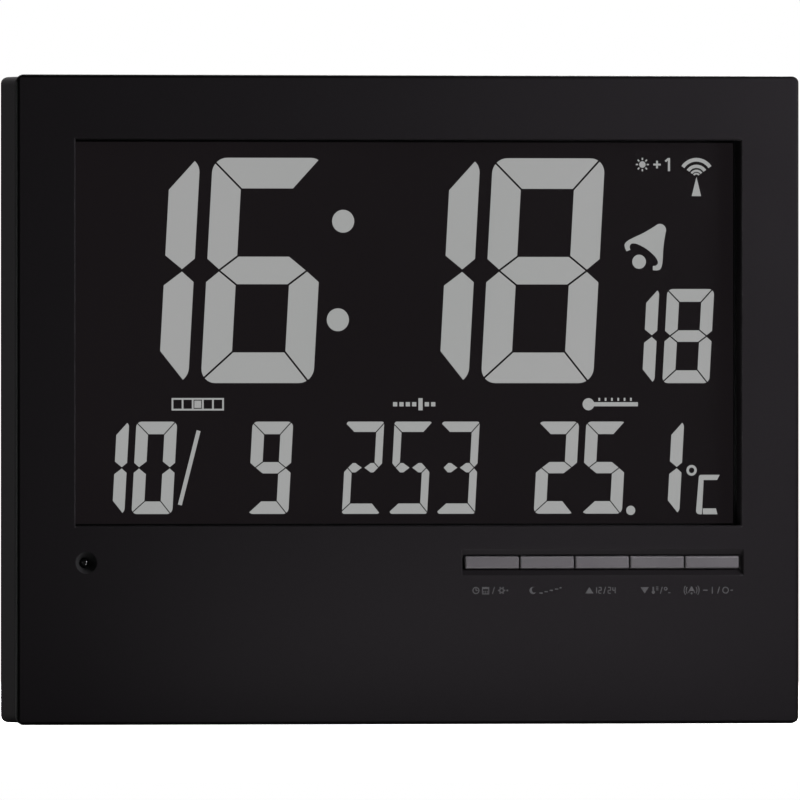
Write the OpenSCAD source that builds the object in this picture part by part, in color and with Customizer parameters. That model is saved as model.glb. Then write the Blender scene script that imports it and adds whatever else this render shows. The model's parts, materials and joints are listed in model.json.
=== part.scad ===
// Radio-controlled wall clock with a large liquid-crystal display, five front
// buttons, a light sensor, a fold-out stand and a pull-off battery door.
// Front view: +X to the right, +Z up. The front face looks along -Y.
// The origin is at the middle of the case's underside.

/* [Case] */
// Overall width of the front case
case_w = 234; // [226:1:246]
// Overall height of the front case
case_h = 187; // [180:1:200]
// Overall depth, from the front face to the back plane
case_d = 28; // [28:0.5:32]
// Depth of the slim side walls, from the front face
rim_d = 21; // [20:0.5:22]
// Thickness of the front face
face_t = 2.4; // [2:0.1:3]
// Thickness of the rear case's walls
back_t = 2.2; // [1.8:0.1:2.6]
// Corner radius seen from the front
corner_r = 2.4; // [1:0.1:3]
// Radius of the front case's front edges
edge_r = 0.8; // [0.4:0.1:1.2]
// Step from the front case in to the slimmer rear case
body_step = 0.6; // [0.3:0.1:1]
// Thickness of the front case's outer edge, in front of the parting groove
edge_d = 1.8; // [1.6:0.1:2.2]
// Depth at which the rear case begins, behind the parting groove
rim_front_d = 3.2; // [2.8:0.1:4]

/* [Display] */
// Side margin between case edge and window
side_margin = 17.5; // [16.5:0.5:19]
// Margin above the window
top_margin = 18.6; // [18:0.2:22]
// Blank height below the window
chin_h = 57.2; // [57:0.2:62]
// Depth of the clear lens below the front face
lens_recess = 4.5; // [3.5:0.1:4.8]
// Thickness of the clear lens
lens_t = 2; // [1.5:0.1:2.2]
// Depth of the display's visible face below the front face
lcd_recess = 8.4; // [8:0.1:9]
// Thickness of each glass plate
glass_t = 1.1; // [0.7:0.1:1.2]
// Thickness of the light guide behind the glass
guide_t = 3; // [2:0.1:3.2]
// Height of the large time digits
time_digit_h = 64.9; // [55:0.1:68]
// Height of the seconds digits
seconds_digit_h = 27.2; // [22:0.2:28]
// Height of the small digits for date and temperature
small_digit_h = 26.6; // [22:0.2:28]
// Lean of the digits, in degrees
digit_lean = 3.2; // [0:0.1:6]

/* [Controls] */
// Number of front buttons
button_count = 5; // [3:1:5]
// Distance from one button to the next
button_pitch = 16.5; // [14:0.1:16.6]
// Gap between neighbouring buttons
button_gap = 0.4; // [0.3:0.05:0.8]
// Height of a button's visible face
button_h = 3.6; // [3:0.1:4.4]
// Travel of a button
button_travel = 0.5; // [0.3:0.05:0.6]
// Height of the row of buttons and of the light sensor
control_z = 46.6; // [45:0.2:47]
// Depth of the trough around the buttons
trough_d = 2; // [1.5:0.1:2.2]
// Height of the trough's sloping walls, above and below the buttons
trough_slope = 1.8; // [1:0.1:2.2]
// Slope of the trough's two ends
trough_end = 0.5; // [0.2:0.1:0.8]
// Diameter of the light sensor's dish
sensor_dish_d = 6.3; // [5:0.1:7]

/* [Back] */
// Height of the stand's hinge
stand_hinge_z = 112; // [100:1:116]
// Width of the stand at its hinge
stand_w = 42; // [36:1:44]
// Width of the stand at its foot
stand_foot_w = 30; // [24:1:36]
// Thickness of the stand
stand_t = 4.4; // [4:0.1:4.6]
// Radius of the stand's trunnions
trunnion_r = 1.5; // [1.2:0.1:1.8]
// Opening angle of the stand
stand_open = 27; // [20:1:30]
// Height of the hanging hole's round mouth
hanger_z = 146; // [140:1:150]
// Radius of the hanging hole's round mouth
hanger_r = 4.2; // [3.5:0.1:5]
// Width of the hanging slot above the mouth
hanger_slot_w = 4.4; // [3.5:0.1:5]
// Diameter of a battery cell
cell_d = 14.5; // [14:0.1:14.5]
// Length of a battery cell with its terminal
cell_l = 50.5; // [49:0.1:50.5]

/* [Hidden] */
$fn = 48;
fit = 0.2;
running = 0.05;
touch = 0.01;
over = 1;

button_names = ["mode", "snooze", "up", "down", "alarm"];

// Window and display outlines, seen from the front
window_w = case_w - 2 * side_margin;
window_h = case_h - top_margin - chin_h;
window_z = chin_h + window_h / 2;
window_bevel = 0.4;
collar_t = 2.4;
lens_lap = 3.5;
lcd_lap = 4;
ledge_h = 3.5;
frame_t = 1.8;
lcd_w = window_w + 2 * lcd_lap;
lcd_h = window_h + 2 * lcd_lap;
frame_w = lcd_w + 2 * (fit + frame_t);
frame_h = lcd_h + 2 * (fit + frame_t);
film_lap = 1;
polarizer_lap = 2;

// Depths of the display stack, counted back from the front face
polarizer_t = 0.2;
film_t = 0.3;
segment_t = 0.1;
board_t = 1.6;
gasket_front = lens_recess + lens_t;
gasket_t = 0.3;
lip_front = gasket_front + gasket_t;
glass_front = lcd_recess + polarizer_t;
glass_split = glass_front + glass_t;
glass_back = glass_split + glass_t;
film_front = glass_back + polarizer_t;
guide_front = film_front + film_t;
guide_back = guide_front + guide_t;
board_front = guide_back + film_t + 0.4;
board_back = board_front + board_t;

// Ears that hold the display frame and the main board to the front case
ear_r = 3;
ear_x = frame_w / 2 + ear_r + 0.4;
ear_rise = 38;
ear_places = [for (sx = [-1, 1], sz = [-1, 1]) [sx * ear_x, window_z + sz * ear_rise]];
board_screw_r = 1;
board_screw_head_r = 2.2;
board_screw_head_t = 1.4;

// Rear case
side_t = back_t;
body_w = case_w - 2 * body_step;
body_h = case_h - 2 * body_step;
groove_deep = 0.6;
neck_w = body_w - 2 * groove_deep;
neck_h = body_h - 2 * groove_deep;
lip_l = 3;
lip_t = 1.4;
lip_w = body_w - 2 * (side_t + fit);
lip_h = body_h - 2 * (side_t + fit);
body_z = case_h / 2;
rim_inner = rim_d - back_t;
panel_inner = case_d - back_t;
plateau_margin = 14;
plateau_draft = 2;
plateau_w = case_w - 2 * plateau_margin;
plateau_low = 3;
plateau_high = case_h - plateau_margin - 1;
foot_pad_x = case_w / 2 - 32;
foot_pad_w = 20;
foot_pad_front = rim_front_d + 1.4;

// Case screws: four in the corners, one above the display, one low beside the stand
screw_inset = 8.6;
screw_r = 1.45;
screw_head_r = 2.8;
screw_head_t = 2;
boss_r = 3.6;
boss_back = 15.6;
well_floor_t = 1.6;
well_r = 3.2;
well_wall = 1.2;
corner_screws = [for (sx = [-1, 1], z = [screw_inset, case_h - screw_inset])
    [sx * (case_w / 2 - screw_inset), z]];
top_screw = [0, case_h - screw_inset];
low_screw = [stand_w / 2 + 8, screw_inset + 3.4];
case_screw_places = concat(corner_screws, [top_screw, low_screw]);

// Buttons
button_w = button_pitch - button_gap;
row_w = button_count * button_pitch - button_gap;
slot_end_gap = 0.4;
slot_w = row_w + 2 * slot_end_gap;
trough_w = slot_w + 0.6;
trough_lap = 0.3;
trough_x = (window_w - trough_w) / 2 + trough_lap;
trough_floor_t = 1.6;
trough_back = trough_d + trough_floor_t;
trough_low_h = button_h + 2 * fit;
trough_high_h = trough_low_h + 2 * trough_slope;
trough_wall = 1.6;
button_front = 0.7;
button_edge_r = 0.5;
flange_front = trough_back + fit;
flange_t = 0.8;
flange_lap = 1.2;
plunger_front = flange_front + flange_t + 0.5;
plunger_r = 1.7;
plunger_l = 1.6;
switch_front = plunger_front + 0.9;
switch_t = 3.4;
switch_w = 6;
key_board_front = switch_front + switch_t;
key_board_t = 1.2;
key_board_back = key_board_front + key_board_t;
key_board_h = 10;
key_board_drop = 1;
key_ear = 6;
key_board_w = trough_w + 2 * key_ear + 1;
key_screw_x = key_board_w / 2 - key_ear / 2;
key_board_z = control_z - key_board_drop;

// Light sensor
sensor_x = -(window_w - sensor_dish_d) / 2;
sensor_r = 1.5;
sensor_tip = 1.4;
sensor_l = 4;
sensor_flange_r = 1.9;
sensor_flange_t = 1;
sensor_tube_r = 3.4;
sensor_tube_back = sensor_tip + sensor_l;
sensor_lead = 0.4;
sensor_board_front = sensor_tube_back + sensor_flange_t + sensor_lead;
sensor_board_t = 1;
sensor_board_w = 8;
sensor_post_z = control_z - 11;

// Battery bay, at the low left seen from the front
bay_wall = 1.6;
bay_slack = 0.2;
cell_pitch = cell_d + bay_slack;
cell_count = 3;
spring_l = 7;
contact_t = 0.5;
bay_l = cell_l + spring_l + 2 * contact_t + 0.4;
bay_right = -(stand_w / 2 + 11);
bay_left = bay_right - bay_l;
bay_low = plateau_low + back_t;
bay_high = bay_low + cell_count * cell_pitch;
door_t = 1.9;
door_front = case_d - door_t;
skirt_l = 1.4;
skirt_t = 1.2;
bay_floor = door_front - skirt_l - fit - cell_d - bay_slack;
cell_depth = bay_floor + (cell_d + bay_slack) / 2;
door_lap = 2.4;
door_left = bay_left - door_lap;
door_right = bay_right + door_lap;
door_low = bay_low - back_t / 2;
door_high = bay_high + door_lap;
door_mid = (door_left + door_right) / 2;
ledge_t = 1.8;
ledge_front = door_front - fit - ledge_t;
door_rim = 1.8;
nail_r = 7;
nail_deep = 1.2;

// Stand
recess_gap = 0.5;
recess_w = stand_w + 2 * recess_gap;
recess_floor = case_d - stand_t - 2 * fit - 0.2;
recess_wall = 1.6;
recess_high = stand_hinge_z + 6;
stand_back = case_d - fit;
stand_front = stand_back - stand_t;
stand_axis_depth = (stand_front + stand_back) / 2;
stand_knuckle_r = stand_t / 2;
stand_foot_z = plateau_low + 2.2;
stand_foot_cut = 2.5;
stand_skin = 1.5;
stand_rib = 1.4;
heel_l = 4.6;
heel_gap = 0.1;
heel_front = stand_axis_depth - (stand_axis_depth - recess_floor - heel_gap - heel_l * sin(stand_open))
    / cos(stand_open);
trunnion_l = 2.2;
trunnion_boss_r = 3.4;
trunnion_boss_l = trunnion_l + 1.2;
pad_t = 0.8;
pad_h = 7;

// Hanging hole
hanger_slot_l = 10;
pocket_w = 2 * hanger_r + 4;
pocket_wall = 1.2;
pocket_front = panel_inner - 6;

// Radio antenna, buzzer and temperature sensor, low on the right
rod_r = 4;
rod_l = 64;
rod_z = 27;
rod_depth = 12;
rod_x = trough_x + 10;
saddle_t = 3;
saddle_w = 12;
coil_r = 5.5;
coil_l = 26;
buzzer_x = trough_x + 8;
buzzer_z = 24;
buzzer_r = 11.5;
buzzer_t = 4.6;
grille_hole_r = 0.9;
grille_pitch = 3.4;
vent_count = 5;
vent_pitch = 4;
vent_w = 1.6;
vent_h = 14;
vent_x = trough_x + 36;
vent_z = 22;

function y_at(depth) = depth - case_d / 2;

// Half of the stand's width at a height, tapering from the hinge to the foot
function stand_half(z) = (stand_foot_w + (stand_w - stand_foot_w)
    * (z - stand_foot_z) / (stand_hinge_z - stand_foot_z)) / 2;

// Placing helpers: layer() extrudes a front-view outline between two depths
module layer(front, back)
    translate([0, y_at(back), 0]) rotate([90, 0, 0]) linear_extrude(back - front) children();

// Extrudes an outline drawn in (depth, height) along X
module along_x(left, right)
    translate([left, y_at(0), 0]) rotate([90, 0, 90]) linear_extrude(right - left) children();

// Extrudes an outline drawn in (X, depth) along Z
module along_z(low, high)
    translate([0, y_at(0), low]) linear_extrude(high - low) children();

// Turns a profile drawn in (radius, depth) about a line along Y
module turned(x, z)
    translate([x, y_at(0), z]) rotate([-90, 0, 0]) rotate_extrude() children();

module span(left, right, low, high)
    translate([left, low]) square([right - left, high - low]);

module plate(x, z, w, h) translate([x - w / 2, z - h / 2]) square([w, h]);

module rounded(x, z, w, h, r) {
    plate(x, z, w - 2 * r, h);
    plate(x, z, w, h - 2 * r);
    for (sx = [-1, 1], sz = [-1, 1])
        translate([x + sx * (w / 2 - r), z + sz * (h / 2 - r)]) circle(r);
}

module disc(place, r) translate(place) circle(r);

// A frame-shaped outline: an outer rectangle with a smaller one cut out
module frame_outline(z, w, h, inner_w, inner_h)
    difference() {
        plate(0, z, w, h);
        plate(0, z, inner_w, inner_h);
    }

// Rectangle in (depth, length) with its two corners on one face rounded
module soft_profile(front, back, low, high, r, front_face) {
    near = front_face ? front + r : front;
    far = front_face ? back : back - r;
    span(near, far, low, high);
    span(front, back, low + r, high - r);
    for (p = [low + r, high - r]) translate([front_face ? near : far, p]) circle(r);
}

// Block with rounded corners whose front or rear edges are rounded too
module soft_block(x, z, w, h, front, back, corner, edge, front_face)
    intersection() {
        layer(front, back) rounded(x, z, w, h, corner);
        along_x(x - w / 2 - over, x + w / 2 + over)
            soft_profile(front, back, z - h / 2, z + h / 2, edge, front_face);
        along_z(z - h / 2 - over, z + h / 2 + over) mirror([1, -1])
            soft_profile(front, back, x - w / 2, x + w / 2, edge, front_face);
    }

// Sweeps a round tube along a list of points
function unit(v) = v / norm(v);
function way(p, i) = unit(p[min(i + 1, len(p) - 1)] - p[max(i - 1, 0)]);
function side_of(t) = unit(cross(abs(t.x) < 0.9 ? [1, 0, 0] : [0, 1, 0], t));
function ring(p, i, r, sides) =
    let (t = way(p, i), u = side_of(t), v = cross(t, u))
    [for (k = [0:sides - 1]) p[i] + r * (cos(360 * k / sides) * u + sin(360 * k / sides) * v)];
module tube(p, r, sides = 8) {
    count = len(p);
    corners = [for (i = [0:count - 1]) each ring(p, i, r, sides)];
    walls = [for (i = [0:count - 2], k = [0:sides - 1])
        let (a = i * sides + k, b = i * sides + (k + 1) % sides)
        each [[a, b, a + sides], [b, b + sides, a + sides]]];
    ends = concat([[for (k = [sides - 1:-1:0]) k]],
                  [[for (k = [0:sides - 1]) (count - 1) * sides + k]]);
    polyhedron(corners, [for (f = concat(walls, ends)) [for (k = [len(f) - 1:-1:0]) f[k]]]);
}

// Front case

module window_cut() {
    layer(-over, lens_recess + over) plate(0, window_z, window_w, window_h);
    intersection() {
        along_z(0, case_h) polygon([
            [-window_w / 2 - window_bevel - over, -over], [window_w / 2 + window_bevel + over, -over],
            [window_w / 2, window_bevel], [-window_w / 2, window_bevel]]);
        along_x(-case_w / 2, case_w / 2) polygon([
            [-over, window_z - window_h / 2 - window_bevel - over],
            [-over, window_z + window_h / 2 + window_bevel + over],
            [window_bevel, window_z + window_h / 2], [window_bevel, window_z - window_h / 2]]);
    }
}

module trough_cut() {
    reach = trough_slope * over / trough_d;
    end_reach = trough_end * (1 + over / trough_d);
    intersection() {
        along_x(trough_x - trough_w, trough_x + trough_w) polygon([
            [-over, control_z - trough_high_h / 2 - reach], [-over, control_z + trough_high_h / 2 + reach],
            [trough_d, control_z + trough_low_h / 2], [trough_d, control_z - trough_low_h / 2]]);
        along_z(0, case_h) polygon([
            [trough_x - trough_w / 2 - end_reach, -over], [trough_x + trough_w / 2 + end_reach, -over],
            [trough_x + trough_w / 2, trough_d], [trough_x - trough_w / 2, trough_d]]);
    }
    layer(trough_d - touch, trough_back + over)
        plate(trough_x, control_z, slot_w, trough_low_h);
}

module sensor_cut() turned(sensor_x, control_z) polygon([
    [0, -over], [sensor_dish_d / 2 + over / 2, -over], [sensor_dish_d / 2, 0],
    [sensor_r + running, face_t], [sensor_r + running, sensor_tube_back + over],
    [0, sensor_tube_back + over]]);

module antenna_saddles()
    for (sx = [-1, 1])
        along_x(rod_x + sx * (rod_l / 2 - 6) - saddle_t / 2, rod_x + sx * (rod_l / 2 - 6) + saddle_t / 2)
            difference() {
                span(face_t - touch, rod_depth + rod_r / 2, rod_z - saddle_w / 2, rod_z + saddle_w / 2);
                disc([rod_depth, rod_z], rod_r + running);
                span(rod_depth, rod_depth + rod_r, rod_z - rod_r + 0.4, rod_z + rod_r - 0.4);
            }

module front_case() color("#232124") difference() {
    union() {
        soft_block(0, body_z, case_w, case_h, 0, edge_d, corner_r, edge_r, true);
        layer(edge_d - touch, face_t) rounded(0, body_z, neck_w, neck_h, corner_r);
        layer(face_t - touch, rim_front_d) difference() {
            rounded(0, body_z, neck_w, neck_h, corner_r);
            plate(0, body_z, lip_w - 2 * lip_t, lip_h - 2 * lip_t);
        }
        layer(face_t - touch, rim_front_d + lip_l) difference() {
            plate(0, body_z, lip_w, lip_h);
            plate(0, body_z, lip_w - 2 * lip_t, lip_h - 2 * lip_t);
        }
        layer(face_t - touch, lens_recess)
            plate(0, window_z, window_w + 2 * collar_t, window_h + 2 * collar_t);
        layer(face_t - touch, trough_back)
            plate(trough_x, control_z, trough_w + 2 * trough_wall, trough_high_h + 2 * trough_wall);
        layer(face_t - touch, boss_back) for (p = case_screw_places) disc(p, boss_r);
        layer(face_t - touch, lip_front) for (p = ear_places) disc(p, ear_r);
        layer(face_t - touch, key_board_front)
            for (sx = [-1, 1]) disc([trough_x + sx * key_screw_x, key_board_z], key_ear / 2 - 0.4);
        layer(face_t - touch, sensor_tube_back) disc([sensor_x, control_z], sensor_tube_r);
        layer(face_t - touch, sensor_board_front) disc([sensor_x, sensor_post_z], key_ear / 2 - 0.4);
        antenna_saddles();
    }
    window_cut();
    trough_cut();
    sensor_cut();
    layer(face_t + over, boss_back + over) for (p = case_screw_places) disc(p, screw_r + running);
    layer(face_t, lip_front + over) for (p = ear_places) disc(p, board_screw_r + running);
    layer(face_t, key_board_front + over)
        for (sx = [-1, 1]) disc([trough_x + sx * key_screw_x, key_board_z], board_screw_r + running);
}

// Rear case

module rear_shell() difference() {
    union() {
        soft_block(0, body_z, body_w, body_h, rim_front_d, rim_d, corner_r, edge_r, false);
        intersection() {
            along_z(plateau_low, plateau_high) polygon([
                [-plateau_w / 2, rim_inner], [plateau_w / 2, rim_inner], [plateau_w / 2, rim_d],
                [plateau_w / 2 - plateau_draft, case_d], [-plateau_w / 2 + plateau_draft, case_d],
                [-plateau_w / 2, rim_d]]);
            along_x(-plateau_w / 2, plateau_w / 2) polygon([
                [rim_inner, plateau_low], [rim_inner, plateau_high], [rim_d, plateau_high],
                [case_d, plateau_high - plateau_draft], [case_d, plateau_low]]);
        }
        layer(foot_pad_front, rim_d - edge_r) for (sx = [-1, 1])
            plate(sx * foot_pad_x, body_step, foot_pad_w, 2 * body_step);
    }
    layer(rim_front_d - over, rim_inner)
        plate(0, body_z, body_w - 2 * side_t, body_h - 2 * side_t);
    layer(rim_inner - over, panel_inner)
        span(-plateau_w / 2 + plateau_draft + back_t, plateau_w / 2 - plateau_draft - back_t,
             plateau_low + back_t, plateau_high - plateau_draft - back_t);
}

module screw_well(place) {
    layer(boss_back, panel_inner) disc(place, well_r + well_wall);
}

module screw_well_cut(place) {
    layer(boss_back + well_floor_t, case_d + over) disc(place, well_r);
    layer(boss_back - over, boss_back + well_floor_t + over) disc(place, screw_r + fit);
}

module bay_walls() {
    layer(bay_floor - bay_wall, panel_inner + touch)
        span(bay_left - bay_wall, bay_right + bay_wall, body_step + side_t - touch, bay_high + bay_wall);
    layer(ledge_front, panel_inner + touch)
        span(door_left - door_rim, door_right + door_rim, plateau_low, door_high + door_rim);
}

// The bay, the ledge that the door rests on, and a scoop above the door for a fingernail
module bay_cut() {
    layer(bay_floor, case_d + over) span(bay_left, bay_right, bay_low, bay_high);
    layer(door_front - fit, case_d + over)
        span(door_left - fit, door_right + fit, door_low - fit, door_high + fit);
    layer(case_d - nail_deep, case_d + over) intersection() {
        disc([door_mid, door_high], nail_r);
        span(door_left, door_right, door_high, door_high + nail_r);
    }
}

// The recess follows the stand's taper, with a gap or a wall's thickness around it
module recess_outline(margin, low, high) polygon([
    [-stand_half(low) - margin, low], [stand_half(low) + margin, low],
    [stand_w / 2 + margin, stand_hinge_z], [stand_w / 2 + margin, high],
    [-stand_w / 2 - margin, high], [-stand_w / 2 - margin, stand_hinge_z]]);

module stand_walls() {
    layer(recess_floor - recess_wall, panel_inner + touch)
        recess_outline(recess_gap + recess_wall, plateau_low, recess_high + recess_wall);
    for (sx = [-1, 1])
        along_x(sx > 0 ? recess_w / 2 : -recess_w / 2 - trunnion_boss_l,
                sx > 0 ? recess_w / 2 + trunnion_boss_l : -recess_w / 2)
            intersection() {
                disc([stand_axis_depth, stand_hinge_z], trunnion_boss_r);
                span(0, case_d - touch, 0, case_h);
            }
}

module stand_cut() {
    layer(recess_floor, case_d + over) recess_outline(recess_gap, plateau_low - over, recess_high);
    bore_l = stand_w / 2 + trunnion_l + fit;
    along_x(-bore_l, bore_l) disc([stand_axis_depth, stand_hinge_z], trunnion_r + running);
}

module hanger_cut() {
    layer(panel_inner - over, case_d + over) {
        disc([0, hanger_z], hanger_r);
        plate(0, hanger_z + hanger_slot_l / 2, hanger_slot_w, hanger_slot_l);
        disc([0, hanger_z + hanger_slot_l], hanger_slot_w / 2);
    }
    layer(pocket_front, panel_inner)
        span(-pocket_w / 2, pocket_w / 2, hanger_z - pocket_w / 2, hanger_z + hanger_slot_l + pocket_w / 2);
}

module grille_cut()
    layer(panel_inner - over, case_d + over)
        for (i = [-2:2], j = [-2:2])
            if (abs(i + j) <= 2)
                disc([buzzer_x + grille_pitch * (i + j / 2), buzzer_z + grille_pitch * j * sin(60)],
                     grille_hole_r);

module vent_cut()
    layer(panel_inner - over, case_d + over)
        for (i = [0:vent_count - 1]) {
            x = vent_x + (i - (vent_count - 1) / 2) * vent_pitch;
            plate(x, vent_z, vent_w, vent_h - vent_w);
            for (sz = [-1, 1]) disc([x, vent_z + sz * (vent_h - vent_w) / 2], vent_w / 2);
        }

module rear_case() color("#1f1e20") difference() {
    union() {
        rear_shell();
        for (p = concat(corner_screws, [top_screw])) intersection() {
            screw_well(p);
            layer(0, rim_inner + touch) plate(0, body_z, case_w, case_h);
        }
        screw_well(low_screw);
        bay_walls();
        stand_walls();
        layer(pocket_front - pocket_wall, panel_inner + touch)
            span(-pocket_w / 2 - pocket_wall, pocket_w / 2 + pocket_wall,
                 hanger_z - pocket_w / 2 - pocket_wall,
                 hanger_z + hanger_slot_l + pocket_w / 2 + pocket_wall);
        layer(panel_inner - 3, panel_inner + touch) difference() {
            disc([buzzer_x, buzzer_z], buzzer_r + fit + 1.4);
            disc([buzzer_x, buzzer_z], buzzer_r + fit);
        }
    }
    for (p = case_screw_places) screw_well_cut(p);
    bay_cut();
    stand_cut();
    hanger_cut();
    grille_cut();
    vent_cut();
}

// Display stack

module display_lens() color("#c8d0d4", 0.4) layer(lens_recess, gasket_front)
    plate(0, window_z, window_w + 2 * lens_lap, window_h + 2 * lens_lap);

module lens_gasket() color("#101010") layer(gasket_front, lip_front)
    frame_outline(window_z, window_w + 2 * lens_lap, window_h + 2 * lens_lap,
                  window_w, window_h);

module lcd_frame() color("#18181a") {
    layer(lens_recess + fit, board_front)
        frame_outline(window_z, frame_w, frame_h, lcd_w + 2 * fit, lcd_h + 2 * fit);
    layer(lip_front, lcd_recess)
        frame_outline(window_z, frame_w, frame_h, window_w, window_h);
    layer(lip_front, board_front) difference() {
        for (p = ear_places) {
            disc(p, ear_r);
            plate(sign(p.x) * (frame_w / 2 + 0.6), p.y, 2, 2 * ear_r);
        }
        for (p = ear_places) disc(p, board_screw_r + 0.15);
    }
}

module front_polarizer() color("#161517") layer(lcd_recess, glass_front)
    plate(0, window_z, window_w + 2 * polarizer_lap, window_h + 2 * polarizer_lap);

module lcd_front_glass() color("#20242a") layer(glass_front, glass_split)
    plate(0, window_z, lcd_w, lcd_h);

module lcd_rear_glass() color("#20242a") layer(glass_split, glass_back)
    plate(0, window_z, lcd_w, lcd_h - 2 * ledge_h);

module rear_polarizer() color("#161517") layer(glass_back, film_front)
    plate(0, window_z, window_w + 2 * film_lap, window_h);

module diffuser_film() color("#e8e8e4") layer(film_front, guide_front)
    plate(0, window_z, window_w + 2 * film_lap, window_h);

module light_guide() color("#dfe8ea", 0.6) layer(guide_front, guide_back)
    plate(0, window_z, window_w + 2 * film_lap, window_h);

module reflector_film() color("#f2f2f0") layer(guide_back, guide_back + film_t)
    plate(0, window_z, window_w + 2 * film_lap, window_h);

led_count = 6;
led_gap = 0.1;
led_t = 1.4;
led_left = -(window_w / 2 + film_lap + led_gap + led_t);
led_run = window_h - 12;

module backlight_board() color("#2f6b45") layer(guide_front, guide_back)
    span(led_left - 1, led_left, window_z - led_run / 2, window_z + led_run / 2);

module backlight_leds() color("#f4f0d8") layer(guide_front + 0.4, guide_back - 0.4)
    for (i = [0:led_count - 1])
        plate(led_left + led_t / 2, window_z + (i - (led_count - 1) / 2) * led_run / led_count, led_t, 3);

module zebra_strips() color("#5a5560") layer(glass_split, board_front)
    for (sz = [-1, 1])
        plate(0, window_z + sz * (lcd_h / 2 - ledge_h / 2), window_w - 10, ledge_h - 1);

// Lit display segments

// The artwork is drawn for a window of this width, and widens or narrows with it
art_w = 199;
art_scale = window_w / art_w;
digit_ratio = 0.518;
small_ratio = 0.456;
week_ratio = 0.42;
stroke_ratio = 0.136;
week_post = 0.083;
week_bar = 0.112;
week_split = 0.4;
tip_share = 0.41;
shoulder_share = 0.79;
middle_share = 0.9;
wide_gap = 0.25;
narrow_gap = 0.15;
arc_steps = 4;
colon_r = 3.3;
colon_rise = 14.2;
point_r = 1.35;
point_rise = 0.95;

function lean(p) = [for (q = p) [q.x + tan(digit_lean) * q.y, q.y]];
function flip(p, sx, sz) = [for (q = p) [sx * q.x, sz * q.y]];
function shift(p, x, z) = [for (q = p) [q.x + x, q.y + z]];
function corner_arc(x, z, r, from, to) =
    [for (k = [0:arc_steps]) let (a = from + (to - from) * k / arc_steps) [x + r * cos(a), z + r * sin(a)]];

// A digit is w wide and h high. Its posts are p wide and its bars b high, with gaps g
// between them, and its outer corners have the radius r.
// Outline of the top bar
function top_bar(w, h, p, b, g, r) = concat(
    [[-w / 2 + p + g, h / 2 - b]],
    corner_arc(-w / 2 + r + g, h / 2 - r, r, 135, 90),
    corner_arc(w / 2 - r - g, h / 2 - r, r, 90, 45),
    [[w / 2 - p - g, h / 2 - b]]);

// Outline of the upper left post
function upper_post(w, h, p, b, g, r) = concat(
    [[-w / 2 + p, h / 2 - b - g]],
    corner_arc(-w / 2 + r, h / 2 - r - g, r, 135, 180),
    [[-w / 2, shoulder_share * b / 2 + g], [-w / 2 + tip_share * p, g],
     [-w / 2 + p, middle_share * b / 2 + g]]);

// Outline of the middle bar, a little slimmer than the others
function middle_bar(w, p, b, g) = let (m = middle_share * b / 2) [
    [-w / 2 + tip_share * p + g, 0], [-w / 2 + p + g, m], [w / 2 - p - g, m],
    [w / 2 - tip_share * p - g, 0], [w / 2 - p - g, -m], [-w / 2 + p + g, -m]];

// Left half of a middle bar that is split in two diamonds
function half_bar(w, p, b, g, split) = let (m = middle_share * b / 2, inner = -split - 1.4 * m) [
    [-w / 2 + tip_share * p + g, 0], [-w / 2 + p + g, m], [inner, m], [-split, 0], [inner, -m],
    [-w / 2 + p + g, -m]];

// Which bars each digit lights: top, upper right, lower right, bottom, lower left, upper left, middle
lit_bars = [
    [1, 1, 1, 1, 1, 1, 0], [0, 1, 1, 0, 0, 0, 0], [1, 1, 0, 1, 1, 0, 1], [1, 1, 1, 1, 0, 0, 1],
    [0, 1, 1, 0, 0, 1, 1], [1, 0, 1, 1, 0, 1, 1], [1, 0, 1, 1, 1, 1, 1], [1, 1, 1, 0, 0, 0, 0],
    [1, 1, 1, 1, 1, 1, 1], [1, 1, 1, 1, 0, 1, 1]];

module digit(value, x, z, h, ratio, g, corner_share, post_ratio = stroke_ratio, bar_ratio = stroke_ratio,
             split = 0) {
    w = art_scale * ratio * h;
    p = post_ratio * h;
    b = bar_ratio * h;
    bar = top_bar(w, h, p, b, g, corner_share * p);
    post = upper_post(w, h, p, b, g, corner_share * p);
    bars = [bar, flip(post, -1, 1), flip(post, -1, -1), flip(bar, 1, -1), flip(post, 1, -1), post];
    half = half_bar(w, p, b, g, split);
    middle = split > 0 ? [half, flip(half, -1, 1)] : [middle_bar(w, p, b, g)];
    lit = lit_bars[value];
    for (outline = concat([for (i = [0:len(bars) - 1]) if (lit[i]) bars[i]], lit[len(bars)] ? middle : []))
        polygon(shift(lean(outline), art_scale * x, z));
}

// Rows of the display, measured from the window's middle
time_row = window_z + window_h / 2 - 5.2 - time_digit_h / 2;
time_low = time_row - time_digit_h / 2;
seconds_row = time_low + seconds_digit_h / 2;
small_row = window_z - window_h / 2 + 3.4 + small_digit_h / 2;
time_pitch = 37.4;
small_pitch = 14.3;
seconds_pitch = 16.5;
hours_x = -41.4;
colon_x = -18.25;
minutes_x = 42.4;
seconds_x = 86.05;
day_x = -73.85;
month_x = -39.2;
slash_x = -63.45;
slash_h = 21.6;
slash_run = 5.6;
slash_w = 1.2;
week_x = 17.1;
temperature_x = 60.75;
tenths_x = 78;
point_x = 68.75;

module time_digit(value, x) digit(value, x, time_row, time_digit_h, digit_ratio, wide_gap, 0.27);

module seconds_digit(value, x) digit(value, x, seconds_row, seconds_digit_h, digit_ratio, wide_gap, 0.45);

module small_digit(value, x) digit(value, x, small_row, small_digit_h, small_ratio, narrow_gap, 0.32);

// The middle field has slim posts, high bars and a split middle bar
module week_digit(value, x)
    digit(value, x, small_row, small_digit_h, week_ratio, narrow_gap, 0.32, week_post, week_bar, week_split);

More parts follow.
